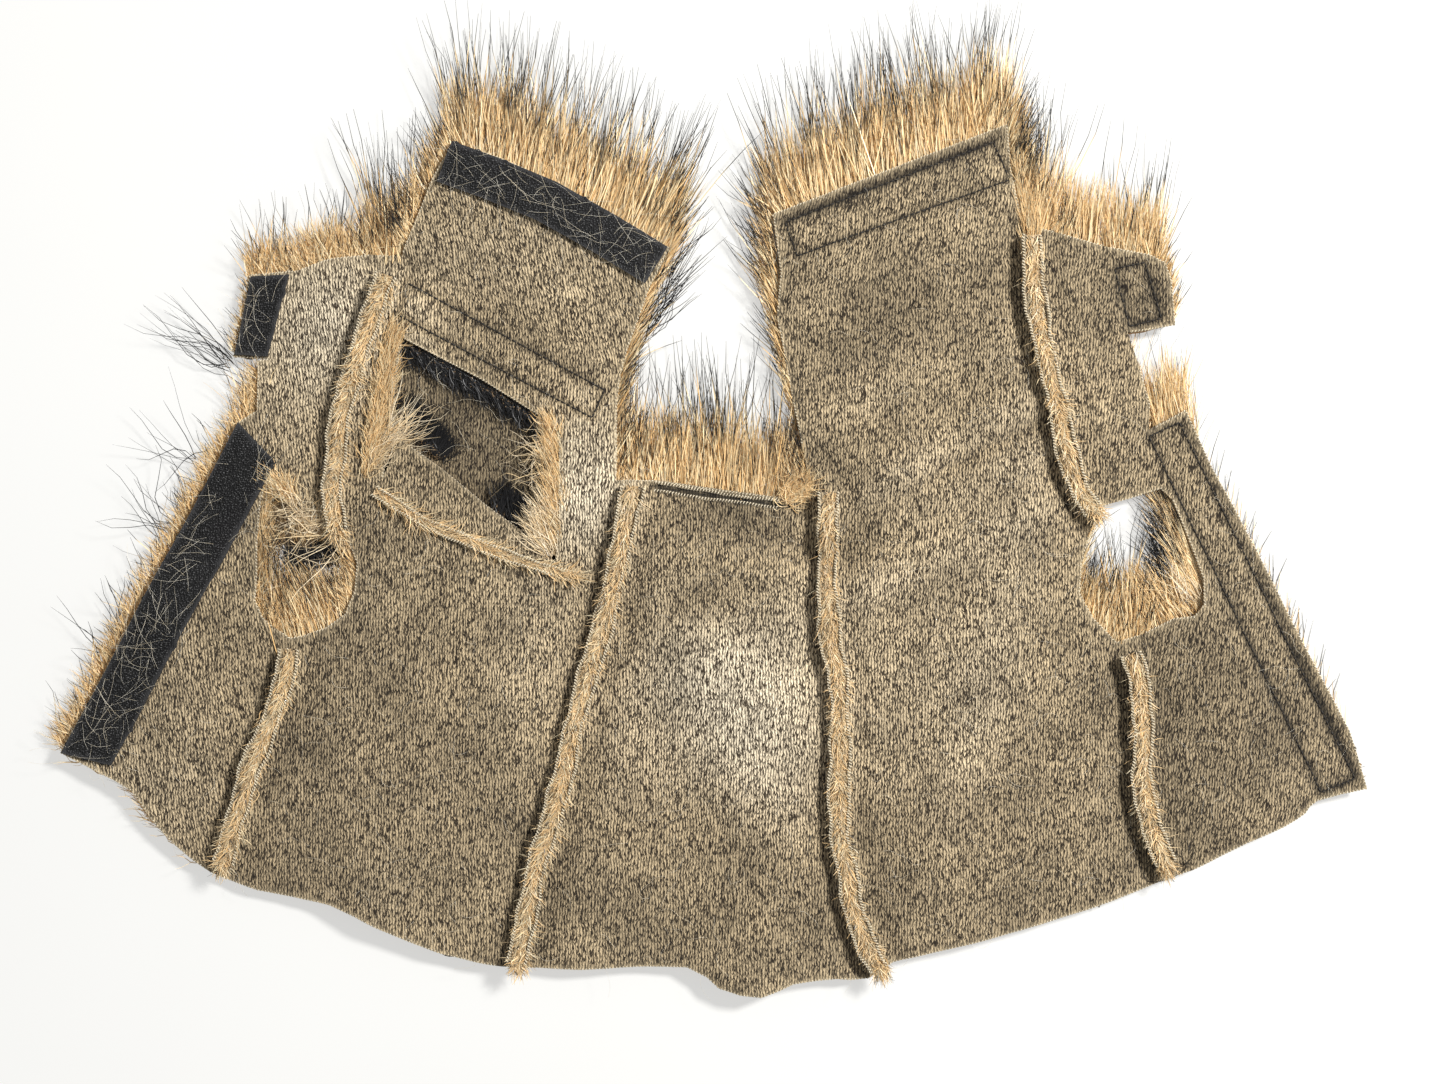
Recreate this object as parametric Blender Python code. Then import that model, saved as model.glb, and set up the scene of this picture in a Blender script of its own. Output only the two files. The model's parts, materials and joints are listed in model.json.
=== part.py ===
"""A wrap-around fur vest lying open on a table, inside out: knit backing up, pile down.

Eleven flat bodies of long-pile faux fur are joined along fold lines. Each body is a sheet of knit
backing over a slab of pile, and carries the seams, hook and loop tapes and stitching sewn to it.
Plan dimensions are in millimetres, +X to the right and +Y towards the neck, and are turned into
metres where a solid is made. Z = 0 is the table.
"""

import bpy
from mathutils import Vector

MM = 0.001

# Heights of the layers, from the table up.
PILE_DEPTH = 9.5
BACKING = 1.2
CONTACT_GAP = 0.3
KNIT_TOP = PILE_DEPTH + CONTACT_GAP + BACKING
ON_KNIT = KNIT_TOP + CONTACT_GAP
EDGE_CLEARANCE = 0.2

# The cover lies under the slot, in the recess of the pile, and the lip lies over it.
COVER_PILE_DEPTH = 4.5
LIP_PILE_DEPTH = 3.0

# Sewn-on parts.
SEAM_WIDTH = 11.0
SEAM_HEIGHT = 7.0
SLOT_SEAM_WIDTH = 5.0
SLOT_SEAM_HEIGHT = 4.0
HOOK_TAPE = 2.0
HOOK_TAPE_WIDTH = 22.0
LOOP_TAPE = 2.0
LOOP_TAPE_WIDTH = 20.0
TAB_LOOP_TAPE_WIDTH = 16.0
SLOT_HOOK_TAPE = 1.0
NECK_HEM_WIDTH = 4.0
NECK_HEM_HEIGHT = 1.5
THREAD_RADIUS = 0.35

# Fold lines, each from its start to its end: the hinges of the wrap.
LEFT_BACK_FOLD = ((-106, -226), (-48, 17))
RIGHT_BACK_FOLD = ((47, 12), (62, -232))
LEFT_FRONT_FOLD = ((-252, -179), (-170, 130))
RIGHT_FRONT_FOLD = ((172, 141), (240, -178))
LEFT_SHOULDER_FOLD = ((-156, 129), (-46, 70))
RIGHT_SHOULDER_FOLD = ((32, 99), (154, 146))
LEFT_TAB_FOLD = ((-220, 78), (-208, 122))
RIGHT_TAB_FOLD = ((196, 134), (207, 91))
LIP_FOLD = ((-166, 17), (-78, -24))
COVER_FOLD = ((-70, -37), (-172, 11))

# Edges that bound the panels, from left to right or from the neck down.
NECK = [(-48, 17), (-30, 17), (4, 12), (35, 8), (47, 12)]
NECK_FRINGE = [(-48, 17), (-44, 21), (-42, 47), (-36, 56), (28, 56), (34, 42), (43, 22), (47, 12)]
CENTRE_HEM = [(-106, -226), (-66, -227), (-13, -226), (3, -236), (24, -240), (40, -234), (62, -232)]
LEFT_BACK_HEM = [(-252, -179), (-228, -188), (-191, -195), (-167, -206), (-136, -219), (-106, -226)]
RIGHT_BACK_HEM = [(62, -232), (78, -232), (90, -224), (139, -212), (186, -198), (213, -188), (240, -178)]
LEFT_FRONT_HEM = [(-326, -119), (-308, -128), (-290, -138), (-282, -150), (-268, -166), (-252, -179)]
RIGHT_FRONT_HEM = [(240, -178), (267, -164), (285, -156), (296, -149), (302, -143), (327, -137)]
LEFT_BACK_SIDE = [(-46, 70), (-48, 58), (-48, 37), (-48, 17)]
RIGHT_BACK_SIDE = [(32, 99), (35, 85), (40, 57), (47, 22), (47, 12)]
LEFT_SHOULDER_SIDES = [(-156, 129), (-140, 168), (-130, 185)], [(-22, 133), (-32, 113), (-43, 82), (-46, 70)]
LEFT_SHOULDER_TOP = [(-130, 185), (-106, 178), (-76, 163), (-46, 146), (-22, 133)]
RIGHT_SHOULDER_EDGE = [(32, 99), (34, 120), (30, 150), (147, 195), (148, 175), (154, 146)]
LEFT_FRONT_TOP = [(-170, 130), (-191, 128), (-208, 122)]
RIGHT_FRONT_TOP = [(172, 141), (196, 134)]
LEFT_FRONT_SIDE = [(-220, 78), (-228, 77), (-228, 66), (-228, 52), (-237, 46), (-326, -119)]
RIGHT_FRONT_SIDE = [(207, 91), (212, 76), (218, 55), (218, 42), (236, 52), (249, 24), (270, -15),
                    (294, -62), (318, -108), (327, -137)]
LEFT_TAB_EDGE = [(-208, 122), (-232, 120), (-240, 79), (-220, 78)]
RIGHT_TAB_EDGE = [(196, 134), (218, 130), (226, 126), (229, 118), (231, 95), (216, 92), (207, 91)]

# Where the pile stands out past the backing, as the tips of its fringe.
LEFT_BACK_FRINGE = [(-170, 130), (-169, 144), (-159, 144), (-156, 129)]
RIGHT_BACK_FRINGE = [(154, 146), (158, 166), (171, 164), (172, 141)]
LEFT_SHOULDER_FRINGE = [(-156, 129), (-152, 149), (-146, 172), (-136, 226), (-106, 219), (-76, 207),
                        (-44, 190), (-16, 169), (-14, 135), (-24, 111), (-36, 85), (-46, 70)]
RIGHT_SHOULDER_FRINGE = [(32, 99), (26, 127), (18, 175), (44, 196), (94, 220), (144, 240),
                         (154, 227), (156, 182), (154, 146)]
LEFT_FRONT_TOP_FRINGE = [(-170, 130), (-171, 145), (-191, 144), (-207, 139), (-208, 122)]
RIGHT_FRONT_TOP_FRINGE = [(172, 141), (173, 162), (191, 158), (196, 134)]
LEFT_FRONT_SIDE_FRINGE = [(-220, 77), (-240, 74), (-249, 57), (-250, 41), (-292, -31), (-331, -115),
                          (-326, -119)]
RIGHT_FRONT_SIDE_FRINGE = [(207, 91), (219, 84), (226, 60), (225, 55), (239, 54), (331, -133), (327, -137)]
LEFT_TAB_FRINGE = [(-208, 122), (-209, 138), (-232, 136), (-238, 120), (-244, 82), (-240, 79), (-220, 78)]
RIGHT_TAB_FRINGE = [(196, 134), (198, 157), (224, 151), (235, 117), (235, 94), (216, 92), (207, 91)]

# Openings: the rims of the two armholes, each split at its fold line, and the slot.
LEFT_ARM_TOP = 3
LEFT_ARM_BOTTOM = -57
LEFT_ARM_FRONT_RIM = [(-212, 11), (-222, 22), (-226, 7), (-228, -11), (-228, -28), (-229, -43), (-225, -52)]
LEFT_ARM_BACK_RIM = [(-196, -4), (-189, -11), (-182, -14), (-178, -24), (-179, -38), (-184, -50),
                     (-194, -57), (-206, -61), (-212, -62)]
RIGHT_ARM_TOP = 6
RIGHT_ARM_BOTTOM = -60
RIGHT_ARM_BACK_RIM = [(194, 4), (190, -5), (184, -24), (183, -39), (190, -52), (202, -64)]
RIGHT_ARM_FRONT_RIM = [(208, 8), (224, 13), (230, 7), (237, -10), (245, -32), (245, -45), (240, -51), (230, -52)]
SLOT_RIM = [(-156, 89), (-116, 68), (-76, 43), (-76, 32), (-76, 5), (-78, -24), (-166, 17), (-162, 37),
            (-160, 57), (-158, 75)]
SLOT_RECESS = [(-157, 122), (-51, 65), (-60, 44), (-68, 40), (-68, -39), (-174, 10), (-165, 97)]
LIP_EDGE = [(-156, 37), (-136, 23), (-114, 5), (-96, -8), (-87, -17), (-82, -22), (-166, 17)]
COVER_EDGE = [(-156, 114), (-60, 62), (-68, 44), (-70, 38), (-70, -37), (-172, 11), (-160, 98)]

# Centre lines of the seams, whose cut edges stand up on the knit side.
SEAMS = {
    "left_back_seam": [(-38, 14), (-46, -23), (-56, -64), (-64, -91), (-71, -118), (-78, -149),
                       (-88, -181), (-96, -223)],
    "right_back_seam": [(58, 11), (58, -34), (60, -66), (64, -89), (64, -151), (67, -175), (72, -200),
                        (84, -226)],
    "left_front_upper_seam": [(-161, 119), (-167, 102), (-178, 72), (-184, 52), (-186, 29), (-188, 9),
                              (-186, -8)],
    "left_front_lower_seam": [(-210, -67), (-212, -83), (-220, -105), (-228, -126), (-235, -149),
                              (-243, -173)],
    "right_front_upper_seam": [(160, 139), (160, 118), (164, 87), (171, 57), (175, 37), (183, 13), (190, 2)],
    "right_front_lower_seam": [(209, -69), (213, -85), (215, -110), (215, -132), (218, -152), (226, -174)],
}
SLOT_SEAM = [(-168, 12), (-146, -2), (-121, -13), (-92, -24), (-67, -31)]
NECK_HEM = [(-28, 14), (4, 9), (34, 5)]

# Centre lines of the tapes, and the outlines of the two that are cut at a slant.
SHOULDER_HOOK_TAPE = [(-134, 176), (-83, 156), (-28, 124)]
FRONT_HOOK_TAPE = [(-237, 46), (-218, 26), (-300, -125), (-325, -119)]
TAB_HOOK_TAPE = [(-231, 119), (-212, 120), (-223, 79), (-239, 80)]
SLOT_TAPE_LINE = [(-157, 109), (-58, 55)]
SLOT_HOOK_TAPE_LINE = [(-156, 106), (-62, 55)]
SHOULDER_LOOP_TAPE_LINE = [(39, 137), (144, 177)]
FRONT_LOOP_TAPE_LINE = [(226, 43), (312, -133)]
TAB_LOOP_TAPE_LINE = [(208, 124), (216, 97)]

# Corners of the stitched outlines that hold the loop tapes from the other side.
SLOT_STITCHES = [(-153, 116), (-54, 62), (-60, 48), (-158, 100)]
SHOULDER_STITCHES = [(36, 146), (140, 186), (148, 167), (42, 129)]
FRONT_STITCHES = [(218, 39), (233, 46), (321, -132), (304, -139)]
TAB_STITCHES = [(201, 123), (216, 126), (224, 98), (208, 94)]

COLOURS = {
    "knit_backing": (0.33, 0.27, 0.19, 0.9),
    "fur_pile": (0.60, 0.37, 0.15, 0.7),
    "seam_allowance": (0.66, 0.52, 0.33, 0.8),
    "hook_tape": (0.02, 0.02, 0.02, 0.5),
    "loop_tape": (0.03, 0.03, 0.03, 0.95),
    "thread": (0.01, 0.01, 0.01, 0.6),
}


def clear_scene():
    for old in list(bpy.data.objects):
        bpy.data.objects.remove(old)


def fabric_material(slot):
    """A copy of a slot's finish for one piece, so that each piece has its own material."""
    red, green, blue, roughness = COLOURS[slot]
    material = bpy.data.materials.new(slot)
    material.use_nodes = True
    shader = material.node_tree.nodes["Principled BSDF"]
    shader.inputs["Base Color"].default_value = (red, green, blue, 1.0)
    shader.inputs["Roughness"].default_value = roughness
    shader.inputs["Metallic"].default_value = 0.0
    return material


def smooth(points, steps=2):
    """The Catmull-Rom curve through the points, with a few points on each span."""
    line = []
    last = len(points) - 1
    for i in range(last):
        before = Vector(points[max(i - 1, 0)])
        start = Vector(points[i])
        end = Vector(points[i + 1])
        after = Vector(points[min(i + 2, last)])
        for step in range(steps):
            t = step / steps
            line.append(0.5 * (2 * start + (end - before) * t
                               + (2 * before - 5 * start + 4 * end - after) * t ** 2
                               + (3 * start - before - 3 * end + after) * t ** 3))
    line.append(Vector(points[last]))
    return line


def fold_point(fold, y):
    """The point of a fold line at this y."""
    start, end = Vector(fold[0]), Vector(fold[1])
    return start.lerp(end, (y - start.y) / (end.y - start.y))


def outline(*edges):
    """One closed outline from edges that follow each other, without the points they share."""
    points = []
    for edge in edges:
        for point in map(Vector, edge):
            if not points or (point - points[-1]).length > 0.01:
                points.append(point)
    if (points[0] - points[-1]).length < 0.01:
        points.pop()
    return points


def signed_area(points):
    return 0.5 * sum(a.cross(b) for a, b in zip(points, points[1:] + points[:1]))


def moved_in(points, distance):
    """The outline with each side moved inwards by the distance, or outwards if it is negative."""
    turn = 1 if signed_area(points) > 0 else -1
    result = []
    for i, point in enumerate(points):
        before = (point - points[i - 1]).normalized()
        after = (points[(i + 1) % len(points)] - point).normalized()
        inward = Vector((-(before + after).y, (before + after).x)).normalized() * turn
        half_angle = max(inward.dot(Vector((-before.y, before.x)) * turn), 0.5)
        result.append(point + inward * (distance / half_angle))
    return result


def ribbon(line, width):
    """The outline of a strip of this width along a centre line."""
    left, right = [], []
    for i, point in enumerate(line):
        along = (Vector(line[min(i + 1, len(line) - 1)]) - Vector(line[max(i - 1, 0)])).normalized()
        across = Vector((-along.y, along.x)) * (width / 2)
        left.append(Vector(point) + across)
        right.append(Vector(point) - across)
    return left + right[::-1]


def add_spline(curve, points, origin, cyclic=True):
    spline = curve.splines.new("POLY")
    spline.points.add(len(points) - 1)
    for slot, point in zip(spline.points, points):
        slot.co = ((point.x - origin.x) * MM, (point.y - origin.y) * MM, 0.0, 1.0)
    spline.use_cyclic_u = cyclic


def place(name, curve, pivot, height, slot):
    """Makes an object of a curve drawn about its body's pivot, and hangs it on that pivot."""
    piece = bpy.data.objects.new(name, curve)
    curve.materials.append(fabric_material(slot))
    parts.objects.link(piece)
    piece.parent = pivot
    piece.location = (0.0, 0.0, height * MM - pivot.location.z)
    return piece


def centre_of(pivot):
    return Vector((pivot.location.x, pivot.location.y)) / MM


def flat_piece(name, pivot, slot, edge, bottom, thickness, hole=None):
    """A flat outline, with at most one hole, made into a slab whose underside is at bottom."""
    curve = bpy.data.curves.new(name, "CURVE")
    curve.dimensions = "2D"
    curve.fill_mode = "BOTH"
    curve.extrude = thickness / 2 * MM
    add_spline(curve, edge, centre_of(pivot))
    if hole:
        add_spline(curve, hole, centre_of(pivot))
    return place(name, curve, pivot, bottom + thickness / 2, slot)


def stitch_line(name, pivot, corners, cyclic=True):
    """A line of sewing thread lying on the knit side."""
    curve = bpy.data.curves.new(name, "CURVE")
    curve.dimensions = "3D"
    curve.bevel_depth = THREAD_RADIUS * MM
    curve.bevel_resolution = 1
    curve.use_fill_caps = True
    add_spline(curve, [Vector(corner) for corner in corners], centre_of(pivot), cyclic)
    return place(name, curve, pivot, ON_KNIT + THREAD_RADIUS, "thread")


def panel(name, pivot, backing_edge, pile_edge, backing_hole=None, pile_hole=None):
    """Knit backing over pile, with the clearance that neighbouring panels keep."""
    backing = moved_in(backing_edge, EDGE_CLEARANCE)
    pile = moved_in(pile_edge, EDGE_CLEARANCE)
    flat_piece(name + "_backing", pivot, "knit_backing", backing, KNIT_TOP - BACKING, BACKING, backing_hole)
    flat_piece(name + "_pile", pivot, "fur_pile", pile, 0, PILE_DEPTH, pile_hole)


def seam(name, pivot):
    """The two cut edges of a seam, standing side by side on the knit."""
    edge = ribbon(smooth(SEAMS[name]), SEAM_WIDTH)
    flat_piece(name, pivot, "seam_allowance", edge, ON_KNIT, SEAM_HEIGHT)


def fur_side_tape(name, pivot, line, width):
    """A loop tape sewn under the backing, where the pile is cut away."""
    flat_piece(name, pivot, "loop_tape", ribbon(line, width), PILE_DEPTH - LOOP_TAPE, LOOP_TAPE)


def tape_recess(line, width):
    return moved_in(ribbon(line, width), -2 * EDGE_CLEARANCE)


def pivot_on(name, fold, height=KNIT_TOP, parent=None):
    """An empty at the middle of a fold line, at the height the fabric bends about."""
    middle = (Vector(fold[0]) + Vector(fold[1])) / 2
    pivot = bpy.data.objects.new(name, None)
    parts.objects.link(pivot)
    place_at = Vector((middle.x * MM, middle.y * MM, height * MM))
    pivot.location = place_at
    if parent:
        bpy.context.view_layer.update()
        pivot.parent = parent
        pivot.matrix_parent_inverse = parent.matrix_world.inverted()
    return pivot


def make_centre_back(pivot):
    """The middle of the back, the body that lies still."""
    sides = LEFT_BACK_FOLD, RIGHT_BACK_FOLD
    hem = smooth(CENTRE_HEM)[::-1]
    panel("centre_back", pivot, outline(sides[0], NECK, sides[1], hem), outline(sides[0], NECK_FRINGE, sides[1], hem))
    flat_piece("neck_hem", pivot, "seam_allowance", ribbon(smooth(NECK_HEM), NECK_HEM_WIDTH), ON_KNIT,
               NECK_HEM_HEIGHT)
    seam("left_back_seam", pivot)


def make_left_back(pivot):
    """The left of the back, with half of the armhole and the slot."""
    arm = [fold_point(LEFT_FRONT_FOLD, LEFT_ARM_BOTTOM)] + LEFT_ARM_BACK_RIM[::-1]
    arm.append(fold_point(LEFT_FRONT_FOLD, LEFT_ARM_TOP))
    below = outline(LEFT_SHOULDER_FOLD, LEFT_BACK_SIDE, LEFT_BACK_FOLD[::-1], smooth(LEFT_BACK_HEM)[::-1],
                    arm, [LEFT_FRONT_FOLD[1]])
    panel("left_back", pivot, below, outline(LEFT_BACK_FRINGE, below), [Vector(p) for p in SLOT_RIM],
          [Vector(p) for p in SLOT_RECESS])
    seam("left_front_upper_seam", pivot)
    seam("left_front_lower_seam", pivot)
    flat_piece("slot_seam", pivot, "seam_allowance", ribbon(smooth(SLOT_SEAM), SLOT_SEAM_WIDTH), ON_KNIT,
               SLOT_SEAM_HEIGHT)
    fur_side_tape("slot_loop_tape", pivot, SLOT_TAPE_LINE, LOOP_TAPE_WIDTH)
    stitch_line("slot_stitching", pivot, SLOT_STITCHES, cyclic=False)


def make_left_shoulder(pivot):
    """The left shoulder flap, with a hook tape on its knit side."""
    left, right = LEFT_SHOULDER_SIDES
    panel("left_shoulder", pivot, outline(left, smooth(LEFT_SHOULDER_TOP), right), outline(LEFT_SHOULDER_FRINGE))
    tape = moved_in(ribbon(smooth(SHOULDER_HOOK_TAPE), HOOK_TAPE_WIDTH), EDGE_CLEARANCE)
    flat_piece("left_shoulder_hook_tape", pivot, "hook_tape", tape, ON_KNIT, HOOK_TAPE)


def make_left_front(pivot):
    """The left front, with half of the armhole and the long hook tape."""
    arm = [fold_point(LEFT_FRONT_FOLD, LEFT_ARM_TOP)] + LEFT_ARM_FRONT_RIM
    arm.append(fold_point(LEFT_FRONT_FOLD, LEFT_ARM_BOTTOM))
    hem = smooth(LEFT_FRONT_HEM)[::-1]
    inner = outline(hem[::-1], arm[::-1])
    panel("left_front", pivot, outline(inner, LEFT_FRONT_TOP, LEFT_FRONT_SIDE),
          outline(inner, LEFT_FRONT_TOP_FRINGE, LEFT_FRONT_SIDE_FRINGE))
    flat_piece("left_front_hook_tape", pivot, "hook_tape", [Vector(p) for p in FRONT_HOOK_TAPE], ON_KNIT,
               HOOK_TAPE)


def make_left_tab(pivot):
    """The left neck tab, with a hook tape on its knit side."""
    panel("left_neck_tab", pivot, outline(LEFT_TAB_EDGE), outline(LEFT_TAB_FRINGE))
    flat_piece("left_neck_tab_hook_tape", pivot, "hook_tape", [Vector(p) for p in TAB_HOOK_TAPE], ON_KNIT,
               HOOK_TAPE)


def make_right_back(pivot):
    """The right of the back, with half of the armhole."""
    arm = [fold_point(RIGHT_FRONT_FOLD, RIGHT_ARM_TOP)] + RIGHT_ARM_BACK_RIM
    arm.append(fold_point(RIGHT_FRONT_FOLD, RIGHT_ARM_BOTTOM))
    below = outline([RIGHT_FRONT_FOLD[0]], arm, smooth(RIGHT_BACK_HEM)[::-1], RIGHT_BACK_SIDE[::-1],
                    RIGHT_SHOULDER_FOLD)
    panel("right_back", pivot, below, outline(RIGHT_BACK_FRINGE, below))
    seam("right_back_seam", pivot)
    seam("right_front_upper_seam", pivot)
    seam("right_front_lower_seam", pivot)


def make_right_shoulder(pivot):
    """The right shoulder flap, with a loop tape on its fur side."""
    panel("right_shoulder", pivot, outline(RIGHT_SHOULDER_EDGE), outline(RIGHT_SHOULDER_FRINGE),
          pile_hole=tape_recess(SHOULDER_LOOP_TAPE_LINE, LOOP_TAPE_WIDTH))
    fur_side_tape("right_shoulder_loop_tape", pivot, SHOULDER_LOOP_TAPE_LINE, LOOP_TAPE_WIDTH)
    stitch_line("right_shoulder_stitching", pivot, SHOULDER_STITCHES)


def make_right_front(pivot):
    """The right front, with half of the armhole and a loop tape on its fur side."""
    arm = [fold_point(RIGHT_FRONT_FOLD, RIGHT_ARM_BOTTOM)] + RIGHT_ARM_FRONT_RIM[::-1]
    arm.append(fold_point(RIGHT_FRONT_FOLD, RIGHT_ARM_TOP))
    inner = outline(smooth(RIGHT_FRONT_HEM)[::-1], arm)
    panel("right_front", pivot, outline(inner, RIGHT_FRONT_TOP, RIGHT_FRONT_SIDE),
          outline(inner, RIGHT_FRONT_TOP_FRINGE, RIGHT_FRONT_SIDE_FRINGE),
          pile_hole=tape_recess(FRONT_LOOP_TAPE_LINE, LOOP_TAPE_WIDTH))
    fur_side_tape("right_front_loop_tape", pivot, FRONT_LOOP_TAPE_LINE, LOOP_TAPE_WIDTH)
    stitch_line("right_front_stitching", pivot, FRONT_STITCHES)


def make_right_tab(pivot):
    """The right neck tab, with a loop tape on its fur side."""
    panel("right_neck_tab", pivot, outline(RIGHT_TAB_EDGE), outline(RIGHT_TAB_FRINGE),
          pile_hole=tape_recess(TAB_LOOP_TAPE_LINE, TAB_LOOP_TAPE_WIDTH))
    fur_side_tape("right_neck_tab_loop_tape", pivot, TAB_LOOP_TAPE_LINE, TAB_LOOP_TAPE_WIDTH)
    stitch_line("right_neck_tab_stitching", pivot, TAB_STITCHES)


def make_slot_lip(pivot):
    """The lower lip of the slot, free along its upper edge."""
    edge = moved_in(outline(LIP_EDGE), EDGE_CLEARANCE)
    flat_piece("slot_lip_backing", pivot, "knit_backing", edge, KNIT_TOP - BACKING, BACKING)
    flat_piece("slot_lip_pile", pivot, "fur_pile", edge, PILE_DEPTH - LIP_PILE_DEPTH, LIP_PILE_DEPTH)


def make_slot_cover(pivot):
    """The flap that closes the slot from the fur side, with a hook tape along its free edge."""
    edge = moved_in(outline(COVER_EDGE), EDGE_CLEARANCE)
    backing_bottom = COVER_PILE_DEPTH + CONTACT_GAP
    tape = ribbon(SLOT_HOOK_TAPE_LINE, LOOP_TAPE_WIDTH / 2)
    flat_piece("slot_cover_backing", pivot, "knit_backing", edge, backing_bottom, BACKING)
    flat_piece("slot_cover_pile", pivot, "fur_pile", edge, 0, COVER_PILE_DEPTH)
    flat_piece("slot_cover_hook_tape", pivot, "hook_tape", tape, backing_bottom + BACKING + CONTACT_GAP,
               SLOT_HOOK_TAPE)


clear_scene()
parts = bpy.data.collections.new("fur_wrap")
bpy.context.scene.collection.children.link(parts)

centre = pivot_on("centre_back_pivot", (LEFT_BACK_FOLD[1], RIGHT_BACK_FOLD[1]))
left_back = pivot_on("left_back_pivot", LEFT_BACK_FOLD, parent=centre)
right_back = pivot_on("right_back_pivot", RIGHT_BACK_FOLD, parent=centre)
left_front = pivot_on("left_front_pivot", LEFT_FRONT_FOLD, parent=left_back)
right_front = pivot_on("right_front_pivot", RIGHT_FRONT_FOLD, parent=right_back)

make_centre_back(centre)
make_left_back(left_back)
make_right_back(right_back)
make_left_front(left_front)
make_right_front(right_front)
make_left_shoulder(pivot_on("left_shoulder_pivot", LEFT_SHOULDER_FOLD, parent=left_back))
make_right_shoulder(pivot_on("right_shoulder_pivot", RIGHT_SHOULDER_FOLD, parent=right_back))
make_left_tab(pivot_on("left_neck_tab_pivot", LEFT_TAB_FOLD, parent=left_front))
make_right_tab(pivot_on("right_neck_tab_pivot", RIGHT_TAB_FOLD, parent=right_front))
make_slot_lip(pivot_on("slot_lip_pivot", LIP_FOLD, parent=left_back))
make_slot_cover(pivot_on("slot_cover_pivot", COVER_FOLD, height=0, parent=left_back))
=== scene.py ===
"""The looks of a faux fur wrap vest that lies open inside out, knit side up, on a pale table.

Everything is laid out in plan in millimetres, +X to the right and +Y towards the neck. The outlines
come from the frame's CAD nodes. One relief function lifts the whole garment off its flat plan, so
that cloth, seams, tapes, stitches and hair all follow the same waves.
"""

import json
import math
import zlib

import bpy
import numpy as np
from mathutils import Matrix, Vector
from mathutils.geometry import delaunay_2d_cdt

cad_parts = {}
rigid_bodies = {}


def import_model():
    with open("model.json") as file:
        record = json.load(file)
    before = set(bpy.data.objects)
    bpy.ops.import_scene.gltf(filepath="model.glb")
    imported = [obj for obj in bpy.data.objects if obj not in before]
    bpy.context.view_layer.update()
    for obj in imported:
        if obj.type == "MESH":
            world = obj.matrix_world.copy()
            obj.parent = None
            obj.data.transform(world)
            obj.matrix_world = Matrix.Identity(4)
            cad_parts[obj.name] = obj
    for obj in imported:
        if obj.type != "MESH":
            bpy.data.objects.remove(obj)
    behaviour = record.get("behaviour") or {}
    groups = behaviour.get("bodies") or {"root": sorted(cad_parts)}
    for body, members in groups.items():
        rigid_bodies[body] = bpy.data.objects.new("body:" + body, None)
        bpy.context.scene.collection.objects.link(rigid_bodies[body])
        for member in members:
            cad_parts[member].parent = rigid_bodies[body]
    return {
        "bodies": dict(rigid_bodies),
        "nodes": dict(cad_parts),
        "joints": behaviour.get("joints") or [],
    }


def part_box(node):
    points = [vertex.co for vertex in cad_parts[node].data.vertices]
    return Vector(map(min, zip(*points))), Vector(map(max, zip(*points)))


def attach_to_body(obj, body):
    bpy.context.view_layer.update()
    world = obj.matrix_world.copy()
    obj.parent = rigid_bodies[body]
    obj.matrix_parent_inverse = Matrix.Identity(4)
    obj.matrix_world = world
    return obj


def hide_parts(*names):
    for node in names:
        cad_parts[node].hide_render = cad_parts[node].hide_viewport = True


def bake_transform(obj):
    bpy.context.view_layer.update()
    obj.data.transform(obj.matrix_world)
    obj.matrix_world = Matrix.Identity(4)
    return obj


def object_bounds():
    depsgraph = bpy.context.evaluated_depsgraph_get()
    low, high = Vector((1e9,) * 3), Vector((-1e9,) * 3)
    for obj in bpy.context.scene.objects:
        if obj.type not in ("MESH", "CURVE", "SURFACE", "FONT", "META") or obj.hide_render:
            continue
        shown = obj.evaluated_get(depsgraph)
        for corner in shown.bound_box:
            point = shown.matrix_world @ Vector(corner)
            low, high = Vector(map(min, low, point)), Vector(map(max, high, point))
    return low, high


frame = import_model()
cad_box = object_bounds()

MM = 0.001
ROOT = "centre_back"

# Cloth.
BACKING = 1.2
CLOTH_STEP = 2.5
JOIN_OVERLAP = 0.25
KNIT_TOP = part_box("centre_back_backing")[1].z / MM
WALE = 1.45
COURSE = 1.9
YARN_DARK = (0.034, 0.022, 0.011)
YARN_LIGHT = (0.97, 0.76, 0.47)
# Painted light: the cream that the light yarn turns where the knit is lit.
LIT_YARN_CREAM = (0.97, 0.84, 0.62)

# How far each panel's knit columns turn from the neck's way, in degrees.
KNIT_TURN = {"left_shoulder": -10.0, "right_shoulder": 6.0, "left_front": -6.0, "right_front": 5.0}

# Hair.
UNDERFUR = 5.5
UNDERFUR_STEP = 5.0
COAT_PER_MM2 = 0.17
COLUMNS = 64
TABLE_CLEARANCE = 0.5
NAP = np.array([0.0, 1.0])
SIDE_HAIR = {"left_front": 0.64, "right_front": 0.08, "left_neck_tab": 0.35, "right_neck_tab": 0.35,
             "left_shoulder": 0.48, "right_shoulder": 0.6}
WOOL_PER_MM = 22
GUARD_PER_MM = 14
GUARD_SHARE = {"left_front": 0.13, "right_front": 0.02, "left_neck_tab": 0.5, "right_neck_tab": 0.5}
SPLAY = {"left_front": 0.85, "left_neck_tab": 0.8, "right_shoulder": 0.62, "left_shoulder": 0.55}
FRINGE_DEPTH = 20.0
UP_FACING = 0.58
HAIR_LIMIT = cad_box[1][1] / MM + 17.0
FRINGE_CURL = {"left_front": 0.34, "left_neck_tab": 0.25}
TOP_HAIR = {"left_front": 0.62, "left_neck_tab": 0.55, "right_front": 0.9, "right_neck_tab": 0.85}

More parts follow.
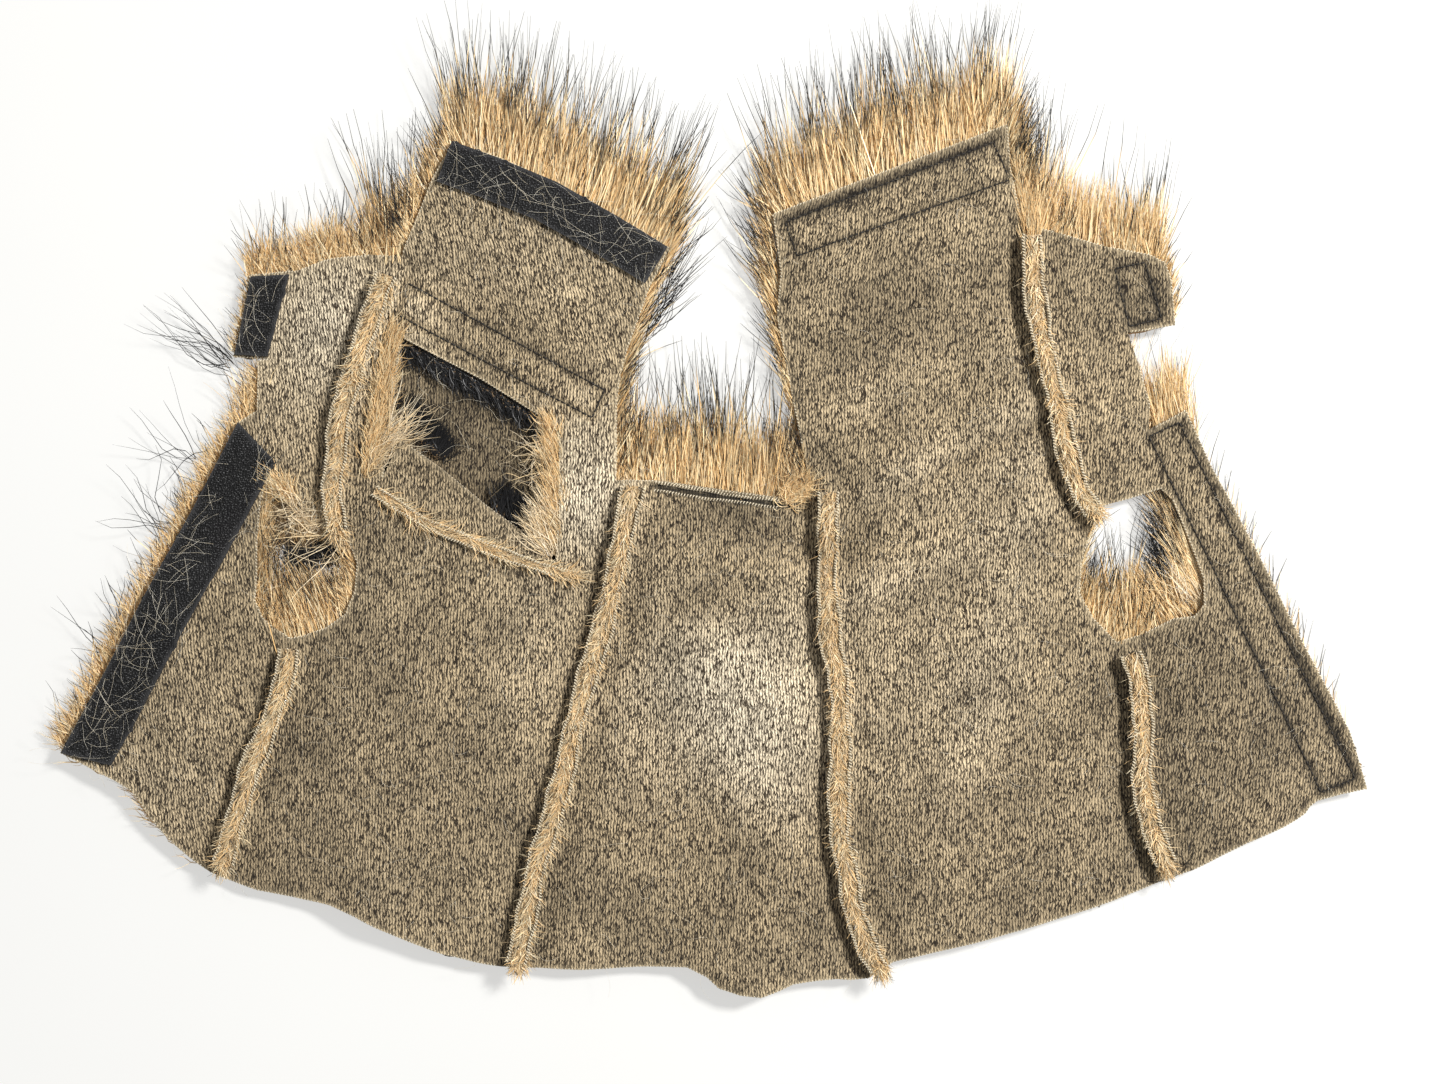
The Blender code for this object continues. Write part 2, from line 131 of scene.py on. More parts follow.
# Where the hair is combed away from the nap: centre, radius, degrees to the left.
LEANS = [
    (196, -58, 14, 8),
    (234, -50, 10, 34),
    (-222, -54, 12, 10),
    (-192, -54, 12, 20),
    (-140, 190, 34, 7),
    (-25, 135, 34, -13),
    (-48, 60, 26, -10),
    (34, 110, 34, 12),
    (150, 190, 20, -4),
    (-205, 130, 40, 6),
    (200, 140, 34, -2),
]

# Sewn parts.
FLAP_HEIGHT = 7.0
SEAM_LEAN = 1.2
EDGE_THREAD = 0.21
STITCH_PITCH = 3.0
STITCH_THREAD = 0.42
TAPE = 1.4
SELVAGE = 1.3
HOOK_PITCH = 1.25

# The area of tape in mm2 for each loose hair on it.
LINT_AREA = {"left_shoulder": 26, "left_front": 36, "left_neck_tab": 30}

SEAMS = {
    "left_back_seam": "centre_back",
    "right_back_seam": "right_back",
    "left_front_upper_seam": "left_back",
    "left_front_lower_seam": "left_back",
    "right_front_upper_seam": "right_back",
    "right_front_lower_seam": "right_back",
}

# The cloth's relief: how much its waves count, and how low and high it may go, in mm.
WAVE_GAIN = 1.7
LOWEST, HIGHEST = -3.5, 8.0

# Soft waves of the cloth: centre, half width across and along, turn of its length from +X, height.
WAVES = [
    (134, 30, 2.6, 36, 27, -1.8),
    (140, 19, 6, 42, 27, 2.4),
    (130, 43, 7, 42, 27, 2.0),
    (76, 88, 8, 40, 21, -2.4),
    (97, 66, 9, 60, 20, 2.6),
    (85, 12, 7, 55, 26, 2.8),
    (95, -30, 8, 75, 24, 2.8),
    (130, -110, 16, 90, 75, 2.0),
    (-22, -110, 16, 90, -62, -2.6),
    (-5, -60, 24, 60, -70, 2.6),
    (22, -170, 22, 60, 85, 2.6),
    (-75, 0, 22, 45, 80, 3.2),
    (-100, -90, 18, 90, 70, 2.0),
    (-150, -120, 20, 80, 75, 2.4),
    (-60, -215, 14, 30, 80, 2.5),
    (24, -232, 16, 26, 90, 3.4),
    (-170, -190, 14, 30, 70, 2.0),
    (-215, 100, 26, 26, 0, -1.5),
    (-280, -110, 22, 80, 62, 1.8),
    (-90, 115, 14, 50, -28, 1.6),
    (-75, 150, 12, 60, -28, 2.2),
    (95, 150, 14, 70, 20, 2.0),
    (200, 90, 16, 40, 80, 0.5),
    (260, -90, 16, 70, -65, 1.8),
    (150, 10, 14, 90, 82, 1.8),
    (30, -12, 6, 24, -15, -2.6),
    (20, -30, 8, 36, -8, 2.6),
    (-10, -44, 6, 30, 20, -1.8),
    (-62, 30, 14, 30, 80, 2.0),
]

# Lightness of the yarn against its average, partly the yarn's own patches and partly painted light and
# shade for the lamp's falloff and for slopes and folds: centre, radius, change.
TONES_AND_SHADE = [
    (0, -100, 45, 0.52),
    (5, -14, 30, -0.31),
    (0, -195, 50, -0.19),
    (-194, 92, 34, 0.62),
    (-64, 8, 22, 0.36),
    (-86, 130, 45, 0.06),
    (123, -105, 70, 0.14),
    (-116, -88, 40, -0.06),
    (88, 149, 40, -0.11),
    (186, 97, 30, -0.02),
    (217, 106, 12, -0.32),
    (118, -195, 40, -0.13),
    (-274, -145, 40, 0.13),
    (253, -110, 60, -0.26),
    (-176, -153, 50, -0.10),
]

SLOT_LIP_ROOT = np.array([(-166, 17), (-82, -22)], float)
LIP_CURL = 2.6
SLOT_STITCHES = [(-153, 116), (-54, 62), (-60, 48), (-158, 100)]
SHOULDER_STITCHES = [(36, 146), (140, 186), (148, 167), (42, 129)]
SHOULDER_BAND = np.array([(31, 146), (146, 190)], float)
FRONT_RIDGE = np.array([(238, 47), (323, -132)], float)
FRONT_STITCHES = [(218, 39), (233, 46), (321, -132), (304, -139)]
TAB_STITCHES = [(201, 123), (216, 126), (224, 98), (208, 94)]
STITCH_LOOPS = [np.array(corners + corners[:1], float)
                for corners in (SLOT_STITCHES, SHOULDER_STITCHES, FRONT_STITCHES, TAB_STITCHES)]


def seeded(name):
    """A random generator of the piece's own, so that an edit to one piece leaves the others alone."""
    return np.random.default_rng(zlib.crc32(name.encode()))


# ---- Outlines in plan ----


def top_loops(node):
    """The closed outlines of a CAD node's top face, the outer one first, with the face on the left."""
    mesh = frame["nodes"][node].data
    corners = np.array([v.co for v in mesh.vertices]) / MM
    top = corners[:, 2].max() - 0.01
    follows = {}
    for face in mesh.polygons:
        ring = [corners[i] for i in face.vertices]
        if min(point[2] for point in ring) < top:
            continue
        keys = [(round(point[0], 2), round(point[1], 2)) for point in ring]
        for start, end in zip(keys, keys[1:] + keys[:1]):
            if follows.get(end) and start in follows[end]:
                follows[end].remove(start)
            else:
                follows.setdefault(start, []).append(end)
    loops = []
    while any(follows.values()):
        start = next(key for key, ends in follows.items() if ends)
        loop = [start]
        point = follows[start].pop()
        while point != start:
            loop.append(point)
            point = follows[point].pop()
        loops.append(np.array(loop))
    return sorted(loops, key=lambda loop: -abs(area_of(loop)))


def area_of(loop):
    x, y = loop.T
    return 0.5 * float(np.sum(x * np.roll(y, -1) - y * np.roll(x, -1)))


def outward(loop):
    """The way out of the face at each point of a loop, longer at sharp corners."""
    before = loop - np.roll(loop, 1, axis=0)
    after = np.roll(loop, -1, axis=0) - loop
    normals = []
    for side in (before, after):
        side = side / np.linalg.norm(side, axis=1)[:, None]
        normals.append(np.stack((side[:, 1], -side[:, 0]), 1))
    way = normals[0] + normals[1]
    way = way / np.maximum(np.linalg.norm(way, axis=1), 1e-6)[:, None]
    spread = np.clip(np.sum(way * normals[1], axis=1), 0.5, 1)
    return way / spread[:, None]


def moved_out(loop, distance):
    return loop + outward(loop) * distance


def spaced(line, step, closed=True):
    """Points along a line no further apart than the step, with its own corners kept."""
    ends = np.roll(line, -1, axis=0) if closed else line[1:]
    points = []
    for start, end in zip(line, ends):
        count = max(1, math.ceil(np.linalg.norm(end - start) / step))
        share = np.arange(count)[:, None] / count
        points.append(start + (end - start) * share)
    if not closed:
        points.append(line[-1:])
    return np.concatenate(points)


def travelled_along(line):
    """How far along a line each of its points is."""
    return np.concatenate(([0], np.cumsum(np.linalg.norm(np.diff(line, axis=0), axis=1))))


def directions(line):
    """The unit way along a line at each of its points."""
    along = np.gradient(line, axis=0)
    return along / np.linalg.norm(along, axis=1)[:, None]


def left_of(ways):
    """Ways in plan turned a quarter to the left."""
    return np.stack((-ways[:, 1], ways[:, 0]), 1)


def headed(headings):
    """Unit ways in plan at some headings."""
    return np.stack((np.cos(headings), np.sin(headings)), 1)


def smooth_line(line, step):
    """The Catmull-Rom curve through a line's points, resampled at equal steps."""
    padded = np.concatenate((line[:1], line, line[-1:]))
    share = np.linspace(0, 1, 24, endpoint=False)[:, None]
    spans = []
    for a, b, c, d in zip(padded, padded[1:], padded[2:], padded[3:]):
        spans.append(0.5 * (2 * b + (c - a) * share + (2 * a - 5 * b + 4 * c - d) * share ** 2
                            + (3 * b - a - 3 * c + d) * share ** 3))
    curve = np.concatenate(spans + [line[-1:]])
    travelled = travelled_along(curve)
    marks = np.linspace(0, travelled[-1], max(2, round(travelled[-1] / step) + 1))
    return np.stack([np.interp(marks, travelled, axis) for axis in curve.T], 1)


def inside(points, loops):
    """Which points lie in the face that the loops bound."""
    crossings = np.zeros(len(points), bool)
    x, y = points[:, 0], points[:, 1]
    for loop in loops:
        for (x0, y0), (x1, y1) in zip(loop, np.roll(loop, -1, axis=0)):
            if y0 != y1:
                crossed = (y0 > y) != (y1 > y)
                crossings ^= crossed & (x < (x1 - x0) * (y - y0) / (y1 - y0) + x0)
    return crossings


def distance_to(points, line, closed=False):
    """How far each point is from a line."""
    ends = np.roll(line, -1, axis=0) if closed else line[1:]
    nearest = np.full(len(points), 1e9)
    for start, end in zip(line, ends):
        along = end - start
        share = np.clip((points - start) @ along / max(along @ along, 1e-9), 0, 1)
        nearest = np.minimum(nearest, np.linalg.norm(points - start - share[:, None] * along, axis=1))
    return nearest


def centre_line(node):
    """The middle of a strip's top face, from the end nearer the neck, and the strip's width."""
    loop = top_loops(node)[0]
    half = len(loop) // 2
    best = None
    for turn in range(half):
        ring = np.roll(loop, -turn, axis=0)
        left, right = ring[:half], ring[half:][::-1]
        widths = np.linalg.norm(left - right, axis=1)
        cost = widths.std() + 0.2 * widths.mean()
        if best is None or cost < best[0]:
            best = (cost, (left + right) / 2, widths.mean())
    line = best[1]
    if line[0, 1] < line[-1, 1]:
        line = line[::-1]
    return line, best[2]


LOOPS = {body: top_loops(body + "_backing") for body in frame["bodies"]}
NECK_SLIT = smooth_line(centre_line("neck_hem")[0], 3.0)
SEAM_LINES = {name: smooth_line(centre_line(name)[0], 3.0) for name in SEAMS}


def on_garment(points):
    """Which points have knit backing over them."""
    covered = np.zeros(len(points), bool)
    for loops in LOOPS.values():
        covered |= inside(points, loops)
    return covered


# ---- Relief ----


def ripple(points, length, seed):
    """A smooth random wave between about -1 and 1, the same each run."""
    random = np.random.default_rng(seed)
    value = np.zeros(len(points))
    for _ in range(7):
        angle = random.uniform(0, 2 * math.pi)
        pitch = length * random.uniform(0.7, 1.5)
        phase = random.uniform(0, 2 * math.pi)
        way = np.array([math.cos(angle), math.sin(angle)])
        value += np.sin(points @ way * 2 * math.pi / pitch + phase)
    return value / 7 ** 0.5


def relief(points):
    """How far the cloth stands above its flat plan, in mm."""
    points = np.asarray(points)[:, :2]
    height = 0.9 * ripple(points, 90, 11) + 0.35 * ripple(points, 30, 12) + 0.12 * ripple(points, 12, 13)
    for x, y, across, along, turn, lift in WAVES:
        angle = math.radians(turn)
        away = points - np.array([x, y])
        u = (away @ np.array([math.cos(angle), math.sin(angle)])) / along
        v = (away @ np.array([-math.sin(angle), math.cos(angle)])) / across
        height += WAVE_GAIN * lift * np.exp(-0.5 * (u * u + v * v))
    for line in SEAM_LINES.values():
        away = distance_to(points, line)
        height += -1.7 * np.exp(-((away - 9) / 6) ** 2) + 0.8 * np.exp(-(away / 4) ** 2)
    for line in STITCH_LOOPS:
        height -= 0.75 * np.exp(-(distance_to(points, line) / 1.9) ** 2)
    height -= 1.6 * np.exp(-(distance_to(points, NECK_SLIT) / 1.6) ** 2)
    return np.clip(height, LOWEST, HIGHEST)


def lifted(points, height, follow=1.0):
    """Plan points raised to a height over the flat plan, following the relief."""
    return np.column_stack((points[:, :2], follow * relief(points) + height))


def sag(body):
    """How much of the relief a body follows, and how far it sags: the slot's cover hangs low."""
    return (0.2, -0.6) if body == "slot_cover" else (1.0, 0.0)


# ---- Meshes ----


def finish_mesh(name, mesh, material):
    mesh.shade_smooth()
    mesh.materials.append(material)
    piece = bpy.data.objects.new(name, mesh)
    bpy.context.scene.collection.objects.link(piece)
    return piece


def piece_from(name, points, faces, material):
    """A mesh piece from points in mm and faces that all have the same number of corners."""
    faces = np.asarray(faces, np.int32)
    mesh = bpy.data.meshes.new(name)
    mesh.vertices.add(len(points))
    mesh.vertices.foreach_set("co", (np.asarray(points) * MM).astype(np.float32).ravel())
    mesh.loops.add(faces.size)
    mesh.loops.foreach_set("vertex_index", faces.ravel())
    mesh.polygons.add(len(faces))
    mesh.polygons.foreach_set("loop_start", np.arange(0, faces.size, faces.shape[1], dtype=np.int32))
    mesh.update(calc_edges=True)
    return finish_mesh(name, mesh, material)


def set_uv(piece, layer, per_corner):
    piece.data.uv_layers.new(name=layer)
    piece.data.uv_layers[layer].data.foreach_set("uv", np.asarray(per_corner, np.float32).ravel())


def set_plan(piece, points):
    """Keeps each corner's flat place, which the knit pattern follows when the cloth bends."""
    index = np.empty(len(piece.data.loops), np.int32)
    piece.data.loops.foreach_get("vertex_index", index)
    set_uv(piece, "plan", points[index, :2] * MM)


def set_value(piece, name, values):
    attribute = piece.data.attributes.new(name, "FLOAT", "POINT")
    attribute.data.foreach_set("value", np.asarray(values, np.float32))


def filled(loops, step):
    """Triangles that fill the face between the loops: its points and faces."""
    edges, rings, count = [], [], 0
    for loop in loops:
        ring = spaced(loop, step)
        index = np.arange(len(ring)) + count
        edges += list(zip(index.tolist(), np.roll(index, -1).tolist()))
        rings.append(ring)
        count += len(ring)
    low, high = loops[0].min(0), loops[0].max(0)
    row_gap = step * 3 ** 0.5 / 2
    rows = np.arange(low[1] + row_gap / 2, high[1], row_gap)
    grid = [np.column_stack((np.arange(low[0] + step * (0.25 + 0.5 * (i % 2)), high[0], step),) * 2)
            for i in range(len(rows))]
    for line, y in zip(grid, rows):
        line[:, 1] = y
    grid = np.concatenate(grid)
    grid = grid[inside(grid, loops)]
    clear = np.ones(len(grid), bool)
    for loop in loops:
        clear &= distance_to(grid, loop, closed=True) > 0.55 * step
    points = np.concatenate(rings + [grid[clear]])
    result = delaunay_2d_cdt([Vector(p) for p in points.tolist()], edges, [], 0, 1e-4)
    flat = np.array([tuple(v) for v in result[0]])
    faces = np.array(result[2])
    keep = inside(flat[faces].mean(1), loops)
    return flat, faces[keep]


def tube(path, radius, sides):
    """A tube along a path: points and four-cornered faces, with open ends."""
    path = np.asarray(path, float)
    along = np.gradient(path, axis=0)
    along /= np.maximum(np.linalg.norm(along, axis=1), 1e-9)[:, None]
    across = np.cross(along, np.array([0, 0, 1.0]))
    flat = np.linalg.norm(across, axis=1) < 0.05
    across[flat] = np.cross(along[flat], np.array([0, 1.0, 0]))
    across /= np.linalg.norm(across, axis=1)[:, None]
    up = np.cross(across, along)
    angles = np.arange(sides) * 2 * math.pi / sides
    radius = np.broadcast_to(radius, len(path))[:, None, None]
    ring = across[:, None] * np.cos(angles)[None, :, None] + up[:, None] * np.sin(angles)[None, :, None]
    points = path[:, None] + ring * radius
    start = np.arange(len(path) - 1)[:, None] * sides
    side = np.arange(sides)[None]
    after = (side + 1) % sides
    faces = np.stack((start + side, start + after, start + sides + after, start + sides + side), -1)
    return points.reshape(-1, 3), faces.reshape(-1, 4)


def strip_quads(count, steps):
    """The faces of some flat strips with the same number of steps, whose points come in pairs."""
    first = (np.arange(count)[:, None] * (steps + 1) + np.arange(steps)[None]) * 2
    return np.stack((first, first + 1, first + 3, first + 2), -1).reshape(-1, 4)


def joined(shapes):
    """Several shapes of points and faces as one."""
    points, faces, count = [], [], 0
    for shape_points, shape_faces in shapes:
        points.append(shape_points)
        faces.append(shape_faces + count)
        count += len(shape_points)
    return np.concatenate(points), np.concatenate(faces)


def thickened(piece, thickness, offset=-1.0):
    modifier = piece.modifiers.new("thickness", "SOLIDIFY")
    modifier.thickness = thickness * MM
    modifier.offset = offset


def sharpen_rim(piece):
    """Marks the open edges sharp, so that the cloth's face is shaded apart from its cut edge."""
    counts = np.zeros(len(piece.data.edges), int)
    index = np.empty(len(piece.data.loops), np.int32)
    piece.data.loops.foreach_get("edge_index", index)
    np.add.at(counts, index, 1)
    sharp = piece.data.attributes.new("sharp_edge", "BOOLEAN", "EDGE")
    sharp.data.foreach_set("value", counts == 1)


# ---- Riding on the frame ----


def attach(piece, body, bends=True):
    """Parents the piece to its body when the body is the root or the piece doesn't bend; otherwise only
    bakes its placement into its mesh.
    """
    if body == ROOT or not bends:
        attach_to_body(piece, body)
    else:
        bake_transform(piece)
    return piece


# ---- Materials ----


class Shade:
    """One material, and short ways to add its nodes."""

    def __init__(self, name, roughness, specular=0.5):
        self.material = bpy.data.materials.new(name)
        self.material.use_nodes = True
        self.tree = self.material.node_tree
        self.shader = self.tree.nodes["Principled BSDF"]
        self.shader.inputs["Roughness"].default_value = roughness
        self.shader.inputs["Specular IOR Level"].default_value = specular

    def add(self, kind, inputs=None, **settings):
        node = self.tree.nodes.new("ShaderNode" + kind)
        for key, value in settings.items():
            setattr(node, key, value)
        for key, value in (inputs or {}).items():
            if isinstance(value, bpy.types.NodeSocket):
                self.tree.links.new(value, node.inputs[key])
            else:
                node.inputs[key].default_value = value
        return node.outputs

    def math(self, operation, a, b=0.0, clamp=False):
        return self.add("Math", {0: a, 1: b}, operation=operation, use_clamp=clamp)[0]

    def spread(self, value, low, high, to_low=0.0, to_high=1.0):
        """A value moved from one range to another and held there."""
        inputs = {"Value": value, "From Min": low, "From Max": high, "To Min": to_low, "To Max": to_high}
        return self.add("MapRange", inputs, clamp=True)["Result"]

    def mix(self, share, a, b):
        inputs = {0: share, 6: a if isinstance(a, bpy.types.NodeSocket) else (*a, 1),
                  7: b if isinstance(b, bpy.types.NodeSocket) else (*b, 1)}
        return self.add("Mix", inputs, data_type="RGBA")[2]

    def scaled(self, vector, factor):
        return self.add("VectorMath", {0: vector, "Scale": factor}, operation="SCALE")[0]

    def noise(self, vector, scale, detail=2.0, roughness=0.5):
        inputs = {"Vector": vector, "Scale": scale, "Detail": detail, "Roughness": roughness}
        return self.add("TexNoise", inputs)[0]

    def colour(self, socket):
        self.tree.links.new(socket, self.shader.inputs["Base Color"])

    def bump(self, height, depth, strength=1.0):
        inputs = {"Height": height, "Distance": depth * MM, "Strength": strength}
        self.tree.links.new(self.add("Bump", inputs)["Normal"], self.shader.inputs["Normal"])


def knit_material(name, turn=0.0):
    """Heathered knit: columns of small V stitches in yarn flecked from dark brown to ecru."""
    s = Shade(name, 0.92, 0.2)
    s.shader.inputs["Sheen Weight"].default_value = 0.12
    s.shader.inputs["Sheen Roughness"].default_value = 0.6
    plan = s.add("UVMap", uv_map="plan")["UV"]
    plan = s.add("VectorRotate", {"Vector": plan, "Angle": math.radians(turn)}, rotation_type="Z_AXIS")[0]
    plan = s.scaled(plan, 1 / MM)
    x, y, _ = s.add("SeparateXYZ", {0: plan})
    x = s.math("ADD", x, s.math("MULTIPLY", s.noise(plan, 0.08, 1.0), 3.0))
    y = s.math("ADD", y, s.math("MULTIPLY", s.noise(plan, 0.5, 1.0), 2.4))
    side = s.math("MULTIPLY", s.math("PINGPONG", s.math("DIVIDE", x, WALE), 0.5), 2.0)
    row = s.math("ADD", s.math("DIVIDE", y, COURSE), s.math("MULTIPLY", side, 0.9))
    loop = s.math("ADD", s.math("MULTIPLY", s.math("SINE", s.math("MULTIPLY", row, 2 * math.pi)), 0.5), 0.5)
    round_top = s.spread(side, 0.05, 0.6)
    stitch = s.math("MULTIPLY", round_top, s.math("ADD", s.math("MULTIPLY", loop, 0.5), 0.5))
    stretched = s.add("VectorMath", {0: plan, 1: (1.0, 0.55, 1.0)}, operation="MULTIPLY")[0]
    leg = s.math("FLOOR", s.math("MULTIPLY", s.math("DIVIDE", x, WALE), 2.0))
    place = s.add("CombineXYZ", {"X": leg, "Y": s.math("FLOOR", s.math("MULTIPLY", row, 1.6))})[0]
    dyed = s.add("TexWhiteNoise", {"Vector": place}, noise_dimensions="2D")["Value"]
    fleck = s.noise(stretched, 1.25, 2.0, 0.6)
    clump = s.noise(stretched, 0.30, 2.0, 0.6)
    patch = s.noise(plan, 0.03, 3.0)
    # The tone attribute: the yarn's own lightness together with painted light and shade.
    tone = s.add("Attribute", attribute_name="tone")["Fac"]
    edge = s.add("Attribute", attribute_name="edge")["Fac"]
    yarn = s.math("ADD", s.math("MULTIPLY", dyed, 0.56), s.spread(fleck, 0.32, 0.68, 0.0, 0.32))
    yarn = s.math("ADD", yarn, s.spread(clump, 0.30, 0.70, 0.0, 0.12))
    light = s.spread(yarn, 0.315, 0.675)
    # Painted shade: the light yarn darkens towards the gaps between the stitch columns and between the rows
    # of loops.
    light = s.math("MULTIPLY", light, s.math("ADD", s.math("MULTIPLY", stitch, 1.2), 0.15), clamp=True)
    # Painted light: where the tone value is high the light yarn turns cream, as lit yarn looks whiter.
    pale = s.mix(s.spread(tone, 0.75, 1.3), YARN_LIGHT, LIT_YARN_CREAM)
    colour = s.mix(light, YARN_DARK, pale)
    shade = s.math("MULTIPLY", tone, s.spread(patch, 0.3, 0.7, 0.65, 1.05))
    colour = s.scaled(colour, shade)
    s.colour(s.mix(s.math("MULTIPLY", edge, 0.4), colour, (0.42, 0.34, 0.22)))
    s.bump(s.math("ADD", stitch, s.math("MULTIPLY", fleck, 0.8)), 0.28, 1.0)
    return s.material


def hair_material(name, gold, pale, dark, tip_start=0.5, root_end=0.3, dullest=0.7):
    """Hair whose colour runs from root to tip along V, with a column of U for each kind of strand."""
    s = Shade(name, 0.42, 0.4)
    s.shader.inputs["Sheen Weight"].default_value = 0.15
    u, v, _ = s.add("SeparateXYZ", {0: s.add("UVMap", uv_map="OFBake")["UV"]})
    column = s.math("FLOOR", s.math("MULTIPLY", u, COLUMNS))
    chance = s.add("TexWhiteNoise", {"W": column}, noise_dimensions="1D")["Value"]
    other = s.add("TexWhiteNoise", {"W": s.math("ADD", column, 0.5)}, noise_dimensions="1D")["Value"]
    body = s.mix(chance, gold, pale)
    body = s.scaled(body, s.spread(other, 0.0, 1.0, dullest, 1.14))
    body = s.mix(s.spread(v, 0.0, root_end, 0.5, 0.0), body, (0.24, 0.14, 0.06))
    start = s.math("ADD", s.math("MULTIPLY", other, 0.18), tip_start)
    black = s.add("MapRange", {"Value": v, "From Min": start, "From Max": s.math("ADD", start, 0.14)},
                  interpolation_type="SMOOTHSTEP")["Result"]
    guard = s.math("LESS_THAN", u, 0.5)
    s.colour(s.mix(s.math("MULTIPLY", black, guard), body, dark))
    return s.material


def yarn_material(name, low, high, scale=1.2, roughness=0.8):
    """Thread or cut edge: two tones mixed in small flecks."""
    s = Shade(name, roughness, 0.3)
    place = s.add("TexCoord")["Object"]
    place = s.scaled(place, 1 / MM)
    grain = s.noise(place, scale, 3.0, 0.6)
    s.colour(s.mix(s.spread(grain, 0.35, 0.65), low, high))
    s.bump(grain, 0.2, 0.6)
    return s.material


def tape_material(name, low, high, dot):
    """Woven black tape with rows of small raised dots and a little lint."""
    s = Shade(name, 0.7, 0.25)
    plan = s.add("UVMap", uv_map="plan")["UV"]
    plan = s.scaled(plan, 1 / MM)
    cell = s.add("TexVoronoi", {"Vector": plan, "Scale": 1 / dot, "Randomness": 0.45})["Distance"]
    grain = s.noise(plan, 1.3, 3.0, 0.6)
    lint = s.spread(s.noise(plan, 0.35, 4.0, 0.7), 0.60, 0.74)
    edge = s.add("Attribute", attribute_name="edge")["Fac"]
    colour = s.mix(s.spread(grain, 0.35, 0.7), low, high)
    colour = s.mix(s.math("MULTIPLY", lint, 0.35), colour, (0.10, 0.09, 0.07))
    s.colour(s.mix(s.math("MULTIPLY", edge, 0.35), colour, (0.10, 0.10, 0.105)))
    s.bump(s.math("SUBTRACT", 1.0, cell), 0.5, 0.9)
    return s.material


def floor_material():
    s = Shade("pale_table", 0.6, 0.2)
    place = s.add("TexCoord")["Object"]
    grain = s.noise(place, 3.0, 2.0)
    s.colour(s.mix(s.spread(grain, 0.3, 0.7), (0.35, 0.35, 0.342), (0.37, 0.37, 0.362)))
    s.shader.inputs["Emission Color"].default_value = (1.0, 1.0, 0.985, 1)
    s.shader.inputs["Emission Strength"].default_value = 0.535
    return s.material


KNIT = {body: knit_material("knit_" + body, KNIT_TURN.get(body, 0.0)) for body in frame["bodies"]}
FUR = hair_material("gold_fur", (0.76, 0.48, 0.20), (0.97, 0.82, 0.52), (0.003, 0.003, 0.004), 0.53)
# Dark brown hair with black tips: the fur's black guard hairs, and painted shade where it fills the left
# armhole's pit and lines the slot's rims.
DARK_FUR_AND_SHADE = hair_material("dark_fur", (0.30, 0.19, 0.09), (0.5, 0.36, 0.2), (0.004, 0.004, 0.005), -0.2)
FLUFF = hair_material("seam_fluff", (0.80, 0.51, 0.22), (1.0, 0.88, 0.60), (0.03, 0.02, 0.012),
                      tip_start=0.4, root_end=0.4, dullest=0.45)
CREAM_FUR = hair_material("cream_fur", (0.74, 0.55, 0.30), (1.0, 0.88, 0.66), (0.5, 0.4, 0.25), 0.9)
UNDERCOAT = yarn_material("undercoat", (0.22, 0.13, 0.055), (0.46, 0.30, 0.14), 0.6)
ECRU = yarn_material("ecru_thread", (0.60, 0.50, 0.34), (0.97, 0.90, 0.72), 1.4)
BLACK_THREAD = yarn_material("black_thread", (0.008, 0.007, 0.006), (0.035, 0.03, 0.025), 1.4, 0.55)
PALE_HAIR = yarn_material("pale_hair", (0.72, 0.62, 0.44), (0.98, 0.93, 0.80), 0.2, 0.4)
BLACK_HAIR = yarn_material("black_hair", (0.01, 0.01, 0.012), (0.05, 0.04, 0.035), 0.2, 0.35)
HOOK = tape_material("hook_tape", (0.004, 0.004, 0.0045), (0.014, 0.014, 0.0145), 0.9)
LOOP = tape_material("loop_tape", (0.010, 0.010, 0.010), (0.026, 0.025, 0.024), 0.7)


# ---- Hair ----


def gathered(random, roots, headings, size):
    """The middle and the heading of the lock that each hair belongs to."""
    cells = np.floor((roots[:, :2] + ripple(roots[:, :2], 4 * size, 5)[:, None]) / size).astype(int)
    _, lock = np.unique(cells[:, 0] * 100003 + cells[:, 1], return_inverse=True)
    members = np.bincount(lock)
    middle = np.stack([np.bincount(lock, roots[:, i]) / members for i in (0, 1)], 1)
    mean = np.bincount(lock, headings) / members + random.normal(0, 0.13, len(members))
    return middle[lock], mean[lock]


